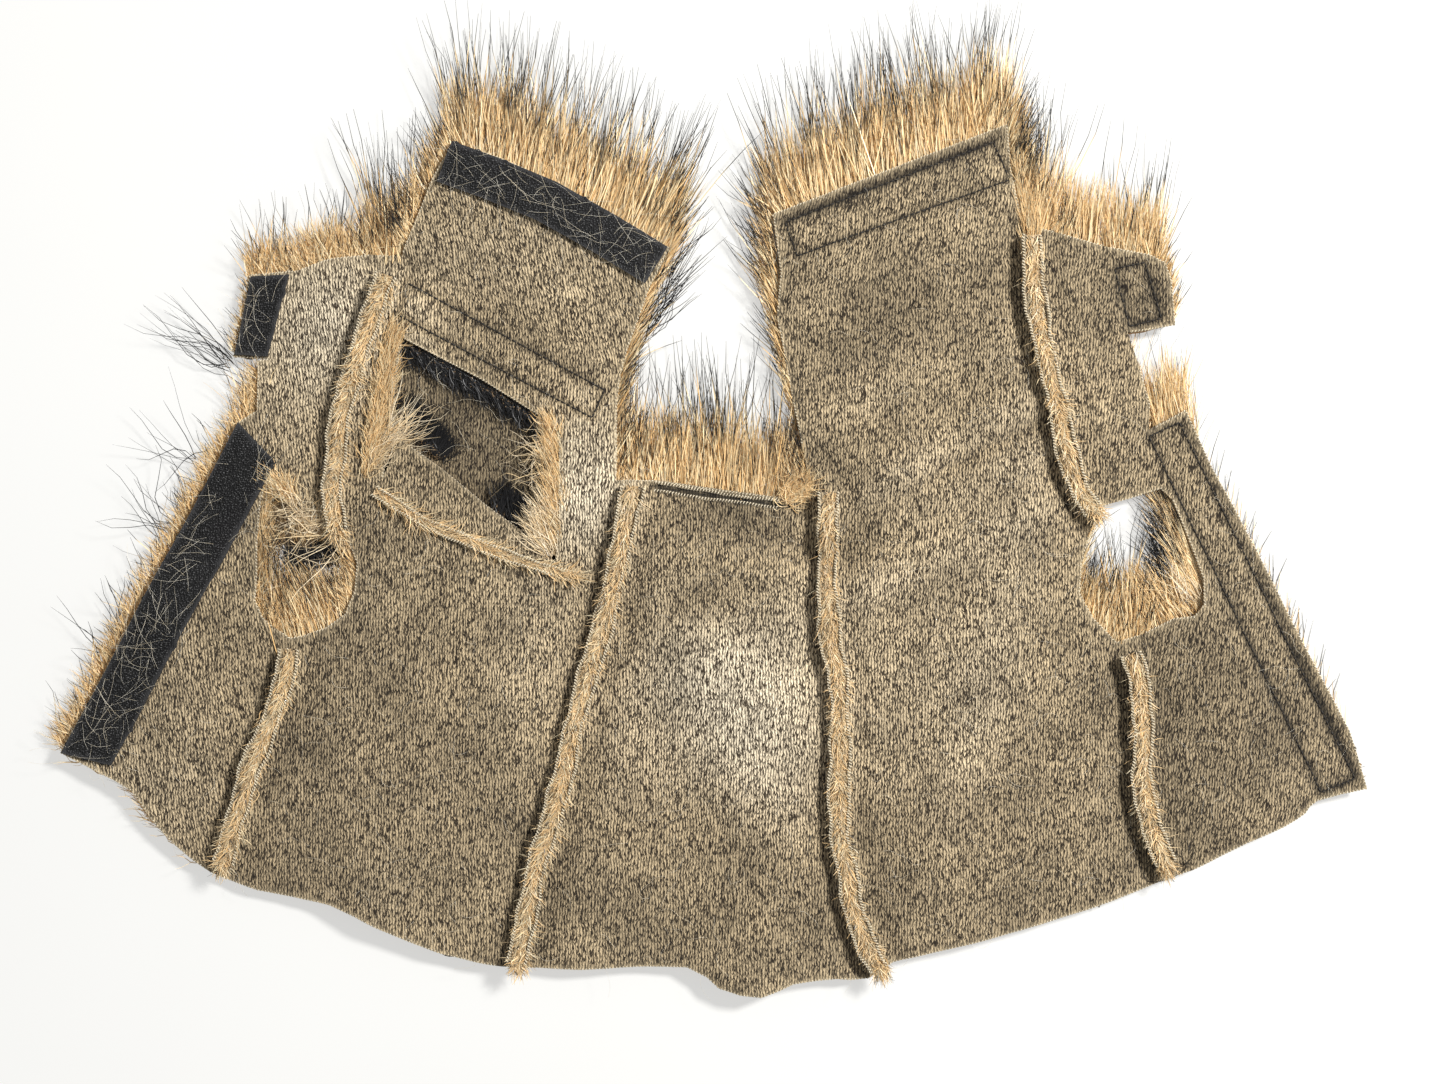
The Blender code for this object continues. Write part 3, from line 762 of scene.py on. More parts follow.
def strands(name, material, roots, headings, lengths, ends, width, kinds, curl=0.12, steps=5, lock=3.0,
            draw=0.7):
    """Flat tapering hairs. Each leaves its root at its heading in plan and ends at its own height.

    The hairs of one lock draw together towards their tips.
    """
    random = seeded(name)
    count = len(roots)
    middle, mean = gathered(random, roots, headings, lock)
    share = np.linspace(0, 1, steps + 1)[None, :, None]
    length = np.asarray(lengths, float)[:, None, None]
    way = headed(headings)[:, None]
    side = np.stack((-way[..., 1], way[..., 0]), -1)
    bow = random.normal(0, curl, count)[:, None, None]
    sway = random.normal(0, curl * 0.35, count)[:, None, None]
    curve = bow * share ** 2 + sway * np.sin(share * 5)
    plan = roots[:, None, :2] + length * (way * share + side * curve)
    lock_way = headed(mean)[:, None]
    drawn = random.uniform(0.15, draw, count)[:, None, None] * share ** 1.3
    plan = plan * (1 - drawn) + (middle[:, None] + length * lock_way * share) * drawn
    rise = (np.asarray(ends, float) - roots[:, 2])[:, None, None]
    height = roots[:, None, 2:3] + rise * share ** 1.6
    path = np.concatenate((plan, np.maximum(height, TABLE_CLEARANCE)), -1)
    roll = random.uniform(-1.0, 1.0, count)[:, None, None]
    up = np.array([0, 0, 1.0])
    flat_side = np.concatenate((np.broadcast_to(side, (count, 1, 2)), np.zeros((count, 1, 1))), -1)
    across = flat_side * np.cos(roll) + up * np.sin(roll)
    half = np.broadcast_to(width, count)[:, None, None] * (1 - 0.75 * share ** 3) / 2
    points = np.stack((path - across * half, path + across * half), 2)
    points[..., 2] = np.maximum(points[..., 2], TABLE_CLEARANCE * 0.6)
    piece = piece_from(name, points.reshape(-1, 3), strip_quads(count, steps), material)
    column = np.asarray(kinds)[:, None, None]
    lower = np.arange(steps)[None, :, None] / steps
    u = (column + np.array([0.2, 0.8, 0.8, 0.2])[None, None]) / COLUMNS
    v = lower + np.array([0, 0, 1, 1])[None, None] / steps
    set_uv(piece, "OFBake", np.stack(np.broadcast_arrays(u, v), -1))
    return piece


def hair_kinds(random, count, guard_share):
    """A column for each hair: the lower half are guard hairs with dark tips."""
    half = COLUMNS // 2
    guard = random.random(count) < guard_share
    return np.where(guard, random.integers(0, half, count), random.integers(half, COLUMNS, count)), guard


def rim_roots(random, body, per_mm, depth):
    """Hair roots just inside a panel's edges, and the way out of the panel at each."""
    spots, ways = [], []
    for loop in LOOPS[body]:
        ring = spaced(loop, 1.0)
        normal = outward(ring)
        normal /= np.linalg.norm(normal, axis=1)[:, None]
        pick = random.integers(0, len(ring), int(len(ring) * per_mm))
        inward = np.minimum(random.exponential(depth * 0.45, len(pick)), depth) + 0.4
        scatter = random.uniform(-0.5, 0.5, (len(pick), 2))
        spots.append(ring[pick] - normal[pick] * inward[:, None] + scatter)
        ways.append(normal[pick])
    return np.concatenate(spots), np.concatenate(ways)


def fringe(body, guard):
    """Hair rooted under a panel's edge that shows beyond it: gold wool, or black-tipped guard hairs.

    It lies along the nap and splays at the sides. Guard hairs are few and stand in small groups.
    """
    name = body + ("_guard_hairs" if guard else "_fringe")
    random = seeded(name + "_roots")
    spots, ways = rim_roots(random, body, GUARD_PER_MM if guard else WOOL_PER_MM, FRINGE_DEPTH)
    if guard:
        share = GUARD_SHARE.get(body, 1.0)
        grouped = random.random(len(spots)) < share * np.clip(0.42 + 0.5 * ripple(spots, 17, 21), 0.05, 1)
        spots, ways = spots[grouped], ways[grouped]
    count = len(spots)
    lean = NAP + SPLAY.get(body, 0.45) * ways * (0.4 + 0.8 * random.random((count, 1)))
    headings = np.arctan2(lean[:, 1], lean[:, 0]) + lean_at(spots) + random.normal(0, 0.10, count)
    lengths = 40 + 42 * random.random(count) ** 2.0 if guard else random.uniform(24, 44, count)
    sides = SIDE_HAIR.get(body, 0.42)
    facing = np.clip((ways[:, 1] - UP_FACING) / 0.3, 0, 1)
    lengths *= (sides + (1 - sides) * facing) * TOP_HAIR.get(body, 1.0)
    lengths = np.minimum(lengths, (HAIR_LIMIT - spots[:, 1]) / np.maximum(np.sin(headings), 0.2))
    reach = headed(headings) * lengths[:, None]
    shows = ~on_garment(spots + reach) & ~on_garment(spots + 0.55 * reach)
    shows &= inside(spots, LOOPS[body])
    spots, headings, lengths = spots[shows], headings[shows], lengths[shows]
    count = len(spots)
    roots = np.column_stack((spots, random.uniform(3.0, 8.2, count) + 0.6 * relief(spots)))
    ends = random.uniform(1.5, 20, count) if guard else random.uniform(1.0, 13, count)
    kinds, _ = hair_kinds(random, count, 1.0 if guard else 0.06)
    curl = FRINGE_CURL.get(body, 0.10)
    width, lock, draw = (0.54, 6.0, 0.75) if guard else (0.46, 2.6, 0.55)
    return strands(name, FUR, roots, headings, lengths, ends, width, kinds, curl=curl, lock=lock, draw=draw)


def lean_at(points):
    """How far the hair leans from the nap at each point, in radians."""
    lean = np.zeros(len(points))
    for x, y, radius, degrees in LEANS:
        away = np.linalg.norm(points - np.array([x, y]), axis=1)
        lean += math.radians(degrees) * np.exp(-0.5 * (away / radius) ** 2)
    return lean


def coat(body):
    """The pile itself, seen when the body folds: hair all over the fur side, lying along the nap."""
    name = body + "_coat"
    random = seeded(name + "_roots")
    loops = LOOPS[body]
    low, high = loops[0].min(0), loops[0].max(0)
    count = int((high - low).prod() * COAT_PER_MM2)
    spots = random.uniform(low, high, (count, 2))
    keep = inside(spots, [moved_out(loop, -2.0) for loop in loops])
    spots = spots[keep]
    count = len(spots)
    kinds, guard = hair_kinds(random, count, 0.4)
    headings = math.pi / 2 + random.normal(0, 0.16, count)
    lengths = np.where(guard, random.uniform(40, 55, count), random.uniform(28, 42, count))
    reach = headed(headings) * lengths[:, None]
    leaves = ~on_garment(spots + reach) & ~on_garment(spots + 0.6 * reach)
    ring = spaced(loops[0], 1.0)
    away = np.linalg.norm(spots[leaves][:, None] - ring[None], axis=2)
    upward = outward(ring)[np.argmin(away, axis=1), 1] > UP_FACING
    lengths[leaves] *= np.where(upward, 0.8, SIDE_HAIR.get(body, 0.42))
    roots = np.column_stack((spots, random.uniform(3.0, 4.5, count)))
    ends = random.uniform(-3.5, 2.5, count)
    width = np.where(on_fold(body, spots, 12.0), 0.28, 0.62)
    return strands(name, FUR, roots, headings, lengths, ends, width, kinds, curl=0.10)


def lock_of_fur(material, name, body, line, heading, fan, count, length, base, tip, guard_share,
                curl=0.15):
    """Hair that comes out along a line and is combed one way, lying over or under the cloth."""
    random = seeded(name + "_roots")
    path = smooth_line(np.array(line, float), 0.5)
    spots = path[random.integers(0, len(path), count)] + random.normal(0, 1.6, (count, 2))
    kinds, guard = hair_kinds(random, count, guard_share)
    headings = math.radians(heading) + random.normal(0, math.radians(fan), count)
    lengths = length * random.uniform(0.55, 1.0, count) * np.where(guard, 1.2, 0.9)
    roots = np.column_stack((spots, base + relief(spots) + random.uniform(-1, 1, count)))
    ends = relief(spots) + random.uniform(tip[0], tip[1], count)
    piece = strands(name, material, roots, headings, lengths, ends, 0.40, kinds, curl=curl)
    attach(piece, body, bends=False)


def stray_hairs(name, body, material, region, count, length, width, lift=0.5, bend=1.5):
    """Single loose hairs that lie in curls on the cloth."""
    random = seeded(name)
    low, high = region.min(0), region.max(0)
    shapes = []
    while len(shapes) < count:
        start = random.uniform(low, high)
        if not inside(start[None], [region])[0]:
            continue
        reach = random.uniform(*length)
        heading = random.uniform(0, 2 * math.pi)
        turn = random.normal(0, bend)
        marks = np.linspace(0, 1, 9)
        angle = heading + turn * marks + 0.3 * bend * np.sin(marks * random.uniform(3, 8))
        steps = headed(angle) * reach / 8
        path = start + np.cumsum(steps, axis=0)
        height = KNIT_TOP + lift + relief(path) + random.uniform(0.2, 2.5) * np.sin(marks * math.pi)
        if on_fold(body, path, 3.0).any():
            continue
        shapes.append(tube(np.column_stack((path, height)), width / 2, 3))
    piece = piece_from(name, *joined(shapes), material)
    attach(piece, body, bends=False)


def loose_thread(name, body, points):
    """A cut end of sewing thread that lies in loops on the cloth."""
    path = smooth_line(np.array(points, float), 1.0)
    height = KNIT_TOP + 0.5 + relief(path) + 0.5 * np.sin(np.arange(len(path)) * 0.5)
    piece = piece_from(name, *tube(np.column_stack((path, height)), 0.17, 5), BLACK_THREAD)
    attach(piece, body, bends=False)


# ---- Panels ----


# The knit's lightness, with painted light and shade: lighter on the relief's crests, darker in its hollows,
# in the grooves of stitches, ridge and neck slit, and under the shoulder's folded edge.
def tone_and_shade_at(points):
    # Painted light and shade: crests of the relief lighter, its hollows darker.
    tone = 0.68 + 0.03 * relief(points)
    for x, y, radius, change in TONES_AND_SHADE:
        away = np.linalg.norm(points[:, :2] - np.array([x, y]), axis=1)
        tone += change * np.exp(-0.5 * (away / radius) ** 2)
    # Painted shade in the grooves along the stitching.
    for line in STITCH_LOOPS:
        tone -= 0.45 * np.exp(-(distance_to(points[:, :2], line) / 1.6) ** 2)
    # Painted shade in the slit of the neck hem.
    tone -= 1.3 * np.exp(-(distance_to(points[:, :2], NECK_SLIT) / 1.7) ** 2)
    # Painted shadow under the right shoulder's folded edge.
    tone -= 0.3 * np.exp(-(distance_to(points[:, :2], SHOULDER_BAND) / 2.6) ** 2)
    # Painted shade in the groove beside the right front's ridge.
    tone -= 0.35 * np.exp(-(distance_to(points[:, :2], FRONT_RIDGE) / 1.3) ** 2)
    return np.clip(tone, 0.06, 1.6)


def panel(body):
    """A body's knit backing, as a thin sheet of cloth over its pile."""
    backing = body + "_backing"
    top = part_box(backing)[1].z / MM
    loops = [moved_out(loop, JOIN_OVERLAP) for loop in LOOPS[body]]
    flat, faces = filled(loops, CLOTH_STEP)
    follow, drop = sag(body)
    points = lifted(flat, top + drop, follow)
    if body == "slot_lip":
        points[:, 2] += LIP_CURL * np.clip(distance_to(flat, SLOT_LIP_ROOT) / 18, 0, 1) ** 2
    if body == "slot_cover":
        points[:, 2] += 0.5 * ripple(flat, 26, 31)
    rim = np.full(len(flat), 1e9)
    for loop in loops:
        rim = np.minimum(rim, distance_to(flat, loop, closed=True))
    rim[on_fold(body, flat)] = 1e9
    cloth = piece_from(body + "_cloth", points, faces, KNIT[body])
    set_plan(cloth, flat)
    # Painted shade: the slot's cover, down in the slot under its rims, gets half the lightness.
    set_value(cloth, "tone", tone_and_shade_at(flat) * (0.5 if body == "slot_cover" else 1.0))
    set_value(cloth, "edge", np.clip(1 - rim / CLOTH_STEP, 0, 1))
    sharpen_rim(cloth)
    thickened(cloth, BACKING)
    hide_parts(backing)
    attach(cloth, body)
    return cloth


def underfur(body):
    """The dense short wool that fills the pile behind the long hairs."""
    pile = body + "_pile"
    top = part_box(body + "_backing")[0].z / MM - 0.4
    follow, drop = sag(body)
    depth = min(UNDERFUR, top + drop - 1.0)
    outer = moved_out(LOOPS[body][0], -1.2)
    holes = [moved_out(loop, -1.0) for loop in top_loops(pile)[1:]]
    flat, faces = filled([outer] + holes, UNDERFUR_STEP)
    piece = piece_from(body + "_underfur", lifted(flat, top + drop, follow), faces, UNDERCOAT)
    thickened(piece, depth)
    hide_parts(pile)
    attach(piece, body)
    return piece


def dress(body):
    """A body's cloth, pile and hair: its coat, and its fringe unless it is part of the slot."""
    cloth = panel(body)
    wool = underfur(body)
    hair = [attach(coat(body), body)]
    if not body.startswith("slot"):
        for guard in (False, True):
            hair.append(attach(fringe(body, guard), body))


# ---- Seams ----


def overlock(path, radius, pitch=1.7, thread=EDGE_THREAD):
    """Thread wound round a cut edge: a fine helix along the path."""
    line = smooth_line(path, pitch / 8)
    turn = np.arange(len(line)) * (2 * math.pi / 8)
    along = directions(line)
    across = np.cross(along, np.array([0, 0, 1.0]))
    up = np.cross(across, along)
    helix = line + radius * (across * np.cos(turn)[:, None] + up * np.sin(turn)[:, None])
    return tube(helix, thread, 4)


def allowance_edges(name, line, half_width, height):
    """The wavy top lines of a seam's two cut edges, each bowed out from the seam line."""
    random = seeded(name)
    across = left_of(directions(line))
    travelled = travelled_along(line)
    edges = []
    for side in (-1, 1):
        wave = np.zeros(len(line))
        for pitch, size in ((70, 0.12), (31, 0.09), (13, 0.05)):
            pitch *= random.uniform(0.8, 1.2)
            wave += size * np.sin(travelled * 2 * math.pi / pitch + random.uniform(0, 6.28))
        out = half_width * (0.85 + wave)
        tall = height * (0.9 + 0.35 * np.roll(wave, 3))
        offset = across * (side * out)[:, None]
        offset[:, 0] -= SEAM_LEAN
        edges.append((side, offset, tall))
    return edges


def seam(name, body, half_width=5.4, height=FLAP_HEIGHT, fluff_per_mm=30):
    """Two cut edges that stand up side by side, overlocked, with short pile between them."""
    line = SEAM_LINES[name] if name in SEAM_LINES else smooth_line(centre_line(name)[0], 3.0)
    base = KNIT_TOP - 0.6 + relief(line)
    flaps, threads = [], []
    for side, offset, tall in allowance_edges(name, line, half_width, height):
        rows = []
        for share, out in ((0.0, 0.18), (0.4, 0.45), (0.75, 0.8), (1.0, 1.0)):
            rows.append(np.column_stack((line + offset * out, base + tall * share)))
        grid = np.stack(rows, 1)
        index = np.arange(grid.shape[0] * 4).reshape(-1, 4)
        corners = (index[:-1, :-1], index[:-1, 1:], index[1:, 1:], index[1:, :-1])
        quads = np.stack(corners, -1).reshape(-1, 4)
        flaps.append((grid.reshape(-1, 3), quads if side > 0 else quads[:, ::-1]))
        threads.append(overlock(grid[:, 3] + [0, 0, 0.4], 0.66, 1.5))
    points, faces = joined(flaps)
    flap = piece_from(name + "_flaps", points, faces, KNIT[body])
    set_plan(flap, points)
    set_value(flap, "tone", 0.85 * tone_and_shade_at(points))
    set_value(flap, "edge", np.tile([0.0, 0.0, 0.3, 1.0], len(points) // 4))
    thickened(flap, 1.0, 0.0)
    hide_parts(name)
    attach(flap, body, bends=False)
    thread = piece_from(name + "_overlock", *joined(threads), ECRU)
    attach(thread, body, bends=False)
    if fluff_per_mm:
        attach(fluff(name, line, half_width, height, fluff_per_mm), body, bends=False)


def fluff(name, line, half_width, height, per_mm):
    """The pile caught between a seam's two edges, combed along the seam and in towards its middle."""
    random = seeded(name + "_fluff")
    fine = smooth_line(line, 0.5)
    pick = random.integers(0, len(fine), int(len(fine) * 0.5 * per_mm))
    along = directions(fine)[pick]
    across = left_of(along)
    shift = random.uniform(-0.75, 0.75, len(pick))
    spots = fine[pick] + across * (shift * half_width)[:, None]
    spots[:, 0] -= 0.7 * SEAM_LEAN
    rise = height * (0.45 + 0.45 * random.random(len(pick)))
    roots = np.column_stack((spots, KNIT_TOP + relief(spots) + rise))
    inward = across * (-np.sign(shift) * (0.6 + 0.3 * ripple(spots, 26, 41)))[:, None]
    way = along + inward
    headings = np.arctan2(way[:, 1], way[:, 0]) + random.normal(0, 0.22, len(pick))
    lengths = random.uniform(5, 12, len(pick))
    ends = roots[:, 2] + random.uniform(-1.5, 2.4, len(pick))
    kinds, _ = hair_kinds(random, len(pick), 0.12)
    return strands(name + "_fluff", FLUFF, roots, headings, lengths, ends, 0.5, kinds, curl=0.35, steps=4,
                   lock=2.8, draw=0.6)


# ---- Tapes and stitching ----


def tape(node, body, material):
    """A CAD tape's outline as woven tape that follows the cloth."""
    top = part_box(node)[1].z / MM
    loops = top_loops(node)
    flat, faces = filled(loops, CLOTH_STEP)
    piece = piece_from(node + "_woven", lifted(flat, top), faces, material)
    set_plan(piece, flat)
    set_value(piece, "edge", distance_to(flat, loops[0], closed=True) < SELVAGE)
    sharpen_rim(piece)
    thickened(piece, TAPE)
    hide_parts(node)
    attach(piece, body, bends=False)
    return loops[0], top


def hooks(name, body, loop, top):
    """Rows of small bent hooks on a hook tape."""
    random = seeded(name)
    low, high = loop.min(0), loop.max(0)
    x, y = np.meshgrid(np.arange(low[0], high[0], HOOK_PITCH), np.arange(low[1], high[1], HOOK_PITCH))
    spots = np.column_stack((x.ravel(), y.ravel())) + random.uniform(-0.35, 0.35, (x.size, 2))
    spots = spots[inside(spots, [moved_out(loop, -1.2)])]
    count = len(spots)
    heading = random.uniform(0, 2 * math.pi, count)
    profile = np.array([(0, 0), (0.05, 0.7), (0.35, 1.05), (0.7, 0.85)])
    way = headed(heading)
    plan = spots[:, None] + way[:, None] * profile[None, :, 0:1]
    height = top + relief(spots)[:, None] + profile[None, :, 1] * random.uniform(0.7, 1.1, (count, 1))
    path = np.concatenate((plan, height[..., None]), -1)
    side = np.stack((-way[:, 1], way[:, 0], np.zeros(count)), 1)[:, None] * 0.16
    points = np.stack((path - side, path + side), 2).reshape(-1, 3)
    piece = piece_from(name, points, strip_quads(count, len(profile) - 1), HOOK_PLASTIC)
    attach(piece, body, bends=False)


def stitching(name, body, corners, closed=True):
    """A line of separate machine stitches that dip into the cloth at both ends."""
    line = np.array(corners, float)
    marks = spaced(line, STITCH_PITCH, closed)
    ends = np.roll(marks, -1, axis=0) if closed else marks[1:]
    shapes = []
    for start, end in zip(marks, ends):
        share = np.linspace(0.06, 0.94, 5)[:, None]
        path = start + (end - start) * share
        height = KNIT_TOP + relief(path) + np.array([-0.35, 0.3, 0.42, 0.3, -0.35])
        shapes.append(tube(np.column_stack((path, height)), STITCH_THREAD, 6))
    piece = piece_from(name + "_stitches", *joined(shapes), BLACK_THREAD)
    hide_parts(name)
    attach(piece, body, bends=False)


def on_fold(body, points, within=1.0):
    """Which points lie on one of a body's folds."""
    near = np.zeros(len(points), bool)
    for joint in frame["joints"]:
        if body in (joint["parent"], joint["child"]):
            way = np.array(joint["axis"][:2])
            away = points - np.array(joint["pos_m"][:2]) / MM
            near |= np.abs(away @ np.array([-way[1], way[0]])) < within
    return near


def cut_edges(body):
    """Fine overlocking round a panel's free edges."""
    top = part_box(body + "_backing")[1].z / MM
    shapes = []
    for loop in LOOPS[body]:
        ring = spaced(loop, 2.0)
        free = ~on_fold(body, ring)
        if free.all():
            runs = [np.concatenate((ring, ring[:1]))]
        else:
            turn = int(np.argmax(~free))
            ring, free = np.roll(ring, -turn, axis=0), np.roll(free, -turn)
            breaks = np.flatnonzero(np.diff(free.astype(int))) + 1
            runs = [run for run, kept in zip(np.split(ring, breaks), np.split(free, breaks)) if kept.all()]
        for run in runs:
            if len(run) > 4:
                shapes.append(overlock(lifted(run, top - 0.4), 0.42, thread=0.2))
    piece = piece_from(body + "_cut_edge", *joined(shapes), ECRU)
    attach(piece, body)


HOOK_PLASTIC = yarn_material("hook_plastic", (0.006, 0.006, 0.006), (0.13, 0.13, 0.133), 0.8, 0.4)


# Fur that shows at the rims: name, body, line, heading, fan, hairs, length, root height, tip heights,
# share of dark-tipped hairs, curl. The bunches are dark guard hairs at the sides.
GOLD_LOCKS = [
    ("left_hole_side_fur", "left_front", [(-228, -34), (-228, 0), (-225, 14)], 72, 12, 520, 24, 7,
     (6, 11), 0.1),
    ("left_hole_back_fur", "left_back", [(-181, -50), (-178, -22)], 112, 14, 340, 24, 7, (7, 12), 0.1),
    ("left_hole_upper_back_fur", "left_back", [(-206, -15), (-184, -19)], 96, 16, 700, 22, 5, (5, 10),
     0.1),
    ("left_hole_low_fur", "left_back", [(-208, -62), (-190, -58)], 104, 10, 300, 32, 7, (6, 11), 0.2),
    ("right_hole_side_fur", "right_front", [(246, -48), (244, -28), (238, -8)], 118, 9, 1300, 46, 6,
     (4, 9), 0.3),
    ("right_hole_top_fur", "right_front", [(237, -8), (229, 9), (220, 12)], 128, 10, 260, 24, 5, (2, 6),
     0.3),
    ("slot_left_fur", "left_back", [(-174, 20), (-169, 45), (-162, 88)], 68, 26, 1100, 17, 11.3,
     (12, 16), 0.05, 0.3),
    ("slot_right_fur", "left_back", [(-77, -20), (-76, 5), (-79, 40)], 114, 20, 1000, 19, 9.5, (9, 15),
     0.08),
    ("right_shoulder_side_fur", "right_back", [(163, 116), (159, 140), (155, 162)], 98, 8, 800, 26, 9,
     (11, 15), 0.08),
    ("neck_curl", "centre_back", [(36, 6), (44, 13)], 64, 46, 240, 15, 11.5, (12, 17), 0.1, 0.9),
    ("left_hole_edge_fur", "left_front", [(-222, 16), (-213, 11), (-208, 6)], 128, 22, 260, 15, 11.2,
     (11, 14),
     0.1, 0.4),
]
BUNCHES = [
    ("left_edge_bunch_1", "left_front", [(-240, 81), (-245, 73)], 148, 12, 22, 44, 6, (8, 20), 1.0, 0.2),
    ("left_edge_bunch_2", "left_front", [(-268, -2), (-275, -16)], 126, 24, 12, 36, 6, (8, 18), 1.0, 0.3),
    ("left_edge_bunch_3", "left_front", [(-290, -50), (-300, -72)], 122, 26, 10, 34, 6, (8, 18), 1.0,
     0.3),
    ("left_edge_bunch_4", "left_front", [(-256, 32), (-262, 20)], 132, 26, 9, 40, 6, (8, 18), 1.0, 0.3),
    ("left_shoulder_side_bunch", "left_shoulder", [(-20, 122), (-34, 86)], 54, 14, 46, 32, 6, (8, 18),
     1.0, 0.15),
]
CREAM_LOCKS = [
    ("slot_left_lock", "left_back", [(-171, 24), (-160, 42)], 38, 18, 90, 34, 12, (11, 18), 0.0, 0.4),
    ("slot_right_lock", "left_back", [(-82, -22), (-77, -4)], 126, 16, 200, 28, 10.5, (11, 18), 0.0, 0.3),
    ("slot_rim_hairs", "left_back", [(-84, 22), (-78, 40)], 170, 40, 60, 22, 10.5, (9, 15), 0.0, 0.9),
    ("left_hole_crossing", "left_front", [(-190, -6), (-180, -20)], 186, 24, 30, 46, 12, (9, 16), 0.0,
     0.5),
    ("left_hole_wisps", "left_front", [(-208, 4), (-196, -8)], 130, 60, 90, 22, 12, (11, 16), 0.0, 0.8),
    ("right_hole_wisps", "right_front", [(232, -46), (243, -40)], 124, 16, 26, 30, 9, (8, 12), 0.0, 0.25),
]
# Dark hair, partly the fur's black guard tips and partly painted shade: the left armhole's pit and upper
# fur and the dark fur round the slot stand in for the shade in the hole and under the slot's rims.
DARK_AND_SHADE_LOCKS = [
    ("left_hole_upper_fur", "left_front", [(-229, -12), (-214, -14), (-202, -14)], 82, 14, 1200, 34, 4,
     (4, 9), 0.2),
    ("left_hole_pit", "left_back", [(-213, -27), (-186, -24)], 92, 22, 420, 12, 7, (7, 11), 1.0),
    ("right_hole_tips", "right_front", [(229, -44), (226, -20), (226, -6)], 120, 14, 130, 22, 7, (5, 9),
     1.0),
    ("slot_left_dark_fur", "left_back", [(-157, 50), (-149, 40), (-137, 29)], 50, 26, 1100, 12, 6.3,
     (6.5, 9), 1.0),
    ("slot_top_dark_fur", "left_back", [(-156, 87), (-118, 67), (-80, 44)], -60, 30, 1300, 13, 8.5,
     (6.4, 9), 1.0),
    ("slot_low_dark_fur", "left_back", [(-108, 2), (-84, -17)], 84, 25, 620, 17, 6.3, (6.5, 9), 1.0),
]

# ---- Making ----

for body_name in frame["bodies"]:
    dress(body_name)

for body_name in frame["bodies"]:
    if body_name != "slot_cover":
        cut_edges(body_name)
for seam_name, seam_body in SEAMS.items():
    seam(seam_name, seam_body)
seam("slot_seam", "left_back", half_width=2.6, height=3.6, fluff_per_mm=9)
seam("neck_hem", "centre_back", half_width=2.1, height=1.6, fluff_per_mm=0)

for tape_body in ("left_shoulder", "left_front", "left_neck_tab", "slot_cover"):
    tape_node = tape_body + "_hook_tape"
    outline, tape_top = tape(tape_node, tape_body, HOOK)
    hooks(tape_node + "_hooks", tape_body, outline, tape_top)
    if tape_body in LINT_AREA:
        many = int(abs(area_of(outline)) / LINT_AREA[tape_body])
        stray_hairs(tape_node + "_lint", tape_body, PALE_HAIR, outline, many, (6, 26), 0.11, lift=2.4,
                    bend=0.45)
for tape_body in ("right_shoulder", "right_front", "right_neck_tab"):
    tape(tape_body + "_loop_tape", tape_body, LOOP)
tape("slot_loop_tape", "left_back", LOOP)

stitching("slot_stitching", "left_back", SLOT_STITCHES, closed=False)
stitching("right_shoulder_stitching", "right_shoulder", SHOULDER_STITCHES)
stitching("right_front_stitching", "right_front", FRONT_STITCHES)
stitching("right_neck_tab_stitching", "right_neck_tab", TAB_STITCHES)

for fur, locks in ((FUR, GOLD_LOCKS), (CREAM_FUR, CREAM_LOCKS), (DARK_FUR_AND_SHADE, DARK_AND_SHADE_LOCKS + BUNCHES)):
    for lock in locks:
        lock_of_fur(fur, *lock)

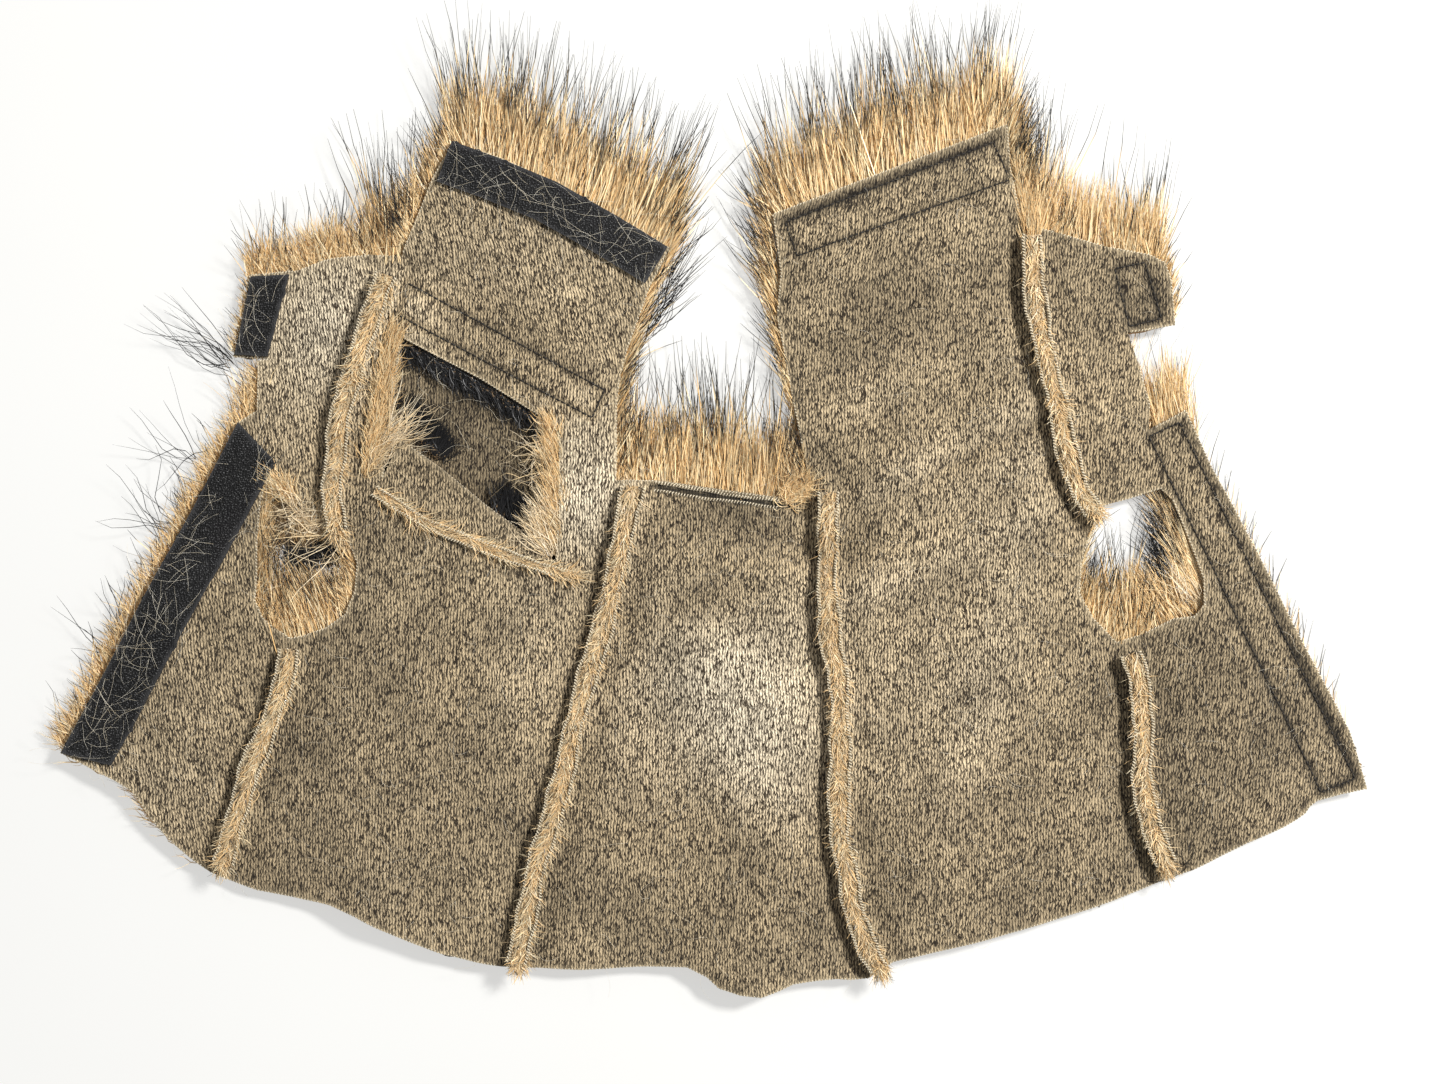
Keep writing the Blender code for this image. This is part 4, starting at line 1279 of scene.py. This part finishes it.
for body_name in frame["bodies"]:
    if not body_name.startswith("slot"):
        ring = LOOPS[body_name][0]
        many = int(area_of(ring) / 260)
        stray_hairs(body_name + "_stray_hairs", body_name, PALE_HAIR, ring, many, (5, 22), 0.09)
        stray_hairs(body_name + "_dark_hairs", body_name, BLACK_HAIR, ring, max(2, many // 9), (5, 16),
                    0.12)
loose_thread("right_seam_thread_loop", "right_back",
             [(226, -172), (216, -178), (219, -184), (230, -182), (237, -176), (232, -170), (226, -176),
              (231, -184)])
loose_thread("right_seam_thread_end", "right_back", [(224, -180), (232, -178), (239, -172), (241, -165)])


# ---- Stage ----

FLOOR_HALF = 14.0
WORLD_LIGHT = 0.40
LAMP_SIZE = 0.32
LAMP_ENERGY = 60.0
LAMP_PLACE = (1.16, 0.66, 1.57)
LENS, SENSOR = 50.0, 36.0
WIDTH_SEEN = 0.7225
VIEW_CENTRE = (0.00475, -0.01375)


def make_floor():
    mesh = bpy.data.meshes.new("table")
    half = FLOOR_HALF
    corners = [(-half, -half, 0), (half, -half, 0), (half, half, 0), (-half, half, 0)]
    mesh.from_pydata(corners, [], [(0, 1, 2, 3)])
    mesh.materials.append(floor_material())
    floor = bpy.data.objects.new("table", mesh)
    bpy.context.scene.collection.objects.link(floor)


def make_light():
    world = bpy.data.worlds.new("studio")
    world.use_nodes = True
    world.node_tree.nodes["Background"].inputs["Color"].default_value = (1.0, 1.0, 1.0, 1)
    world.node_tree.nodes["Background"].inputs["Strength"].default_value = WORLD_LIGHT
    bpy.context.scene.world = world
    lamp = bpy.data.lights.new("window", "AREA")
    lamp.shape = "DISK"
    lamp.size = LAMP_SIZE
    lamp.energy = LAMP_ENERGY
    lamp.color = (1.0, 0.985, 0.96)
    window = bpy.data.objects.new("window", lamp)
    window.location = LAMP_PLACE
    window.rotation_euler = (-window.location).to_track_quat("-Z", "Y").to_euler()
    bpy.context.scene.collection.objects.link(window)
    bpy.context.scene.view_settings.view_transform = "Standard"


def make_camera():
    data = bpy.data.cameras.new("overhead")
    data.lens = LENS
    data.sensor_width = SENSOR
    camera = bpy.data.objects.new("overhead", data)
    camera.location = (*VIEW_CENTRE, KNIT_TOP * MM + WIDTH_SEEN * LENS / SENSOR)
    bpy.context.scene.collection.objects.link(camera)
    bpy.context.scene.camera = camera


make_floor()
make_light()
make_camera()
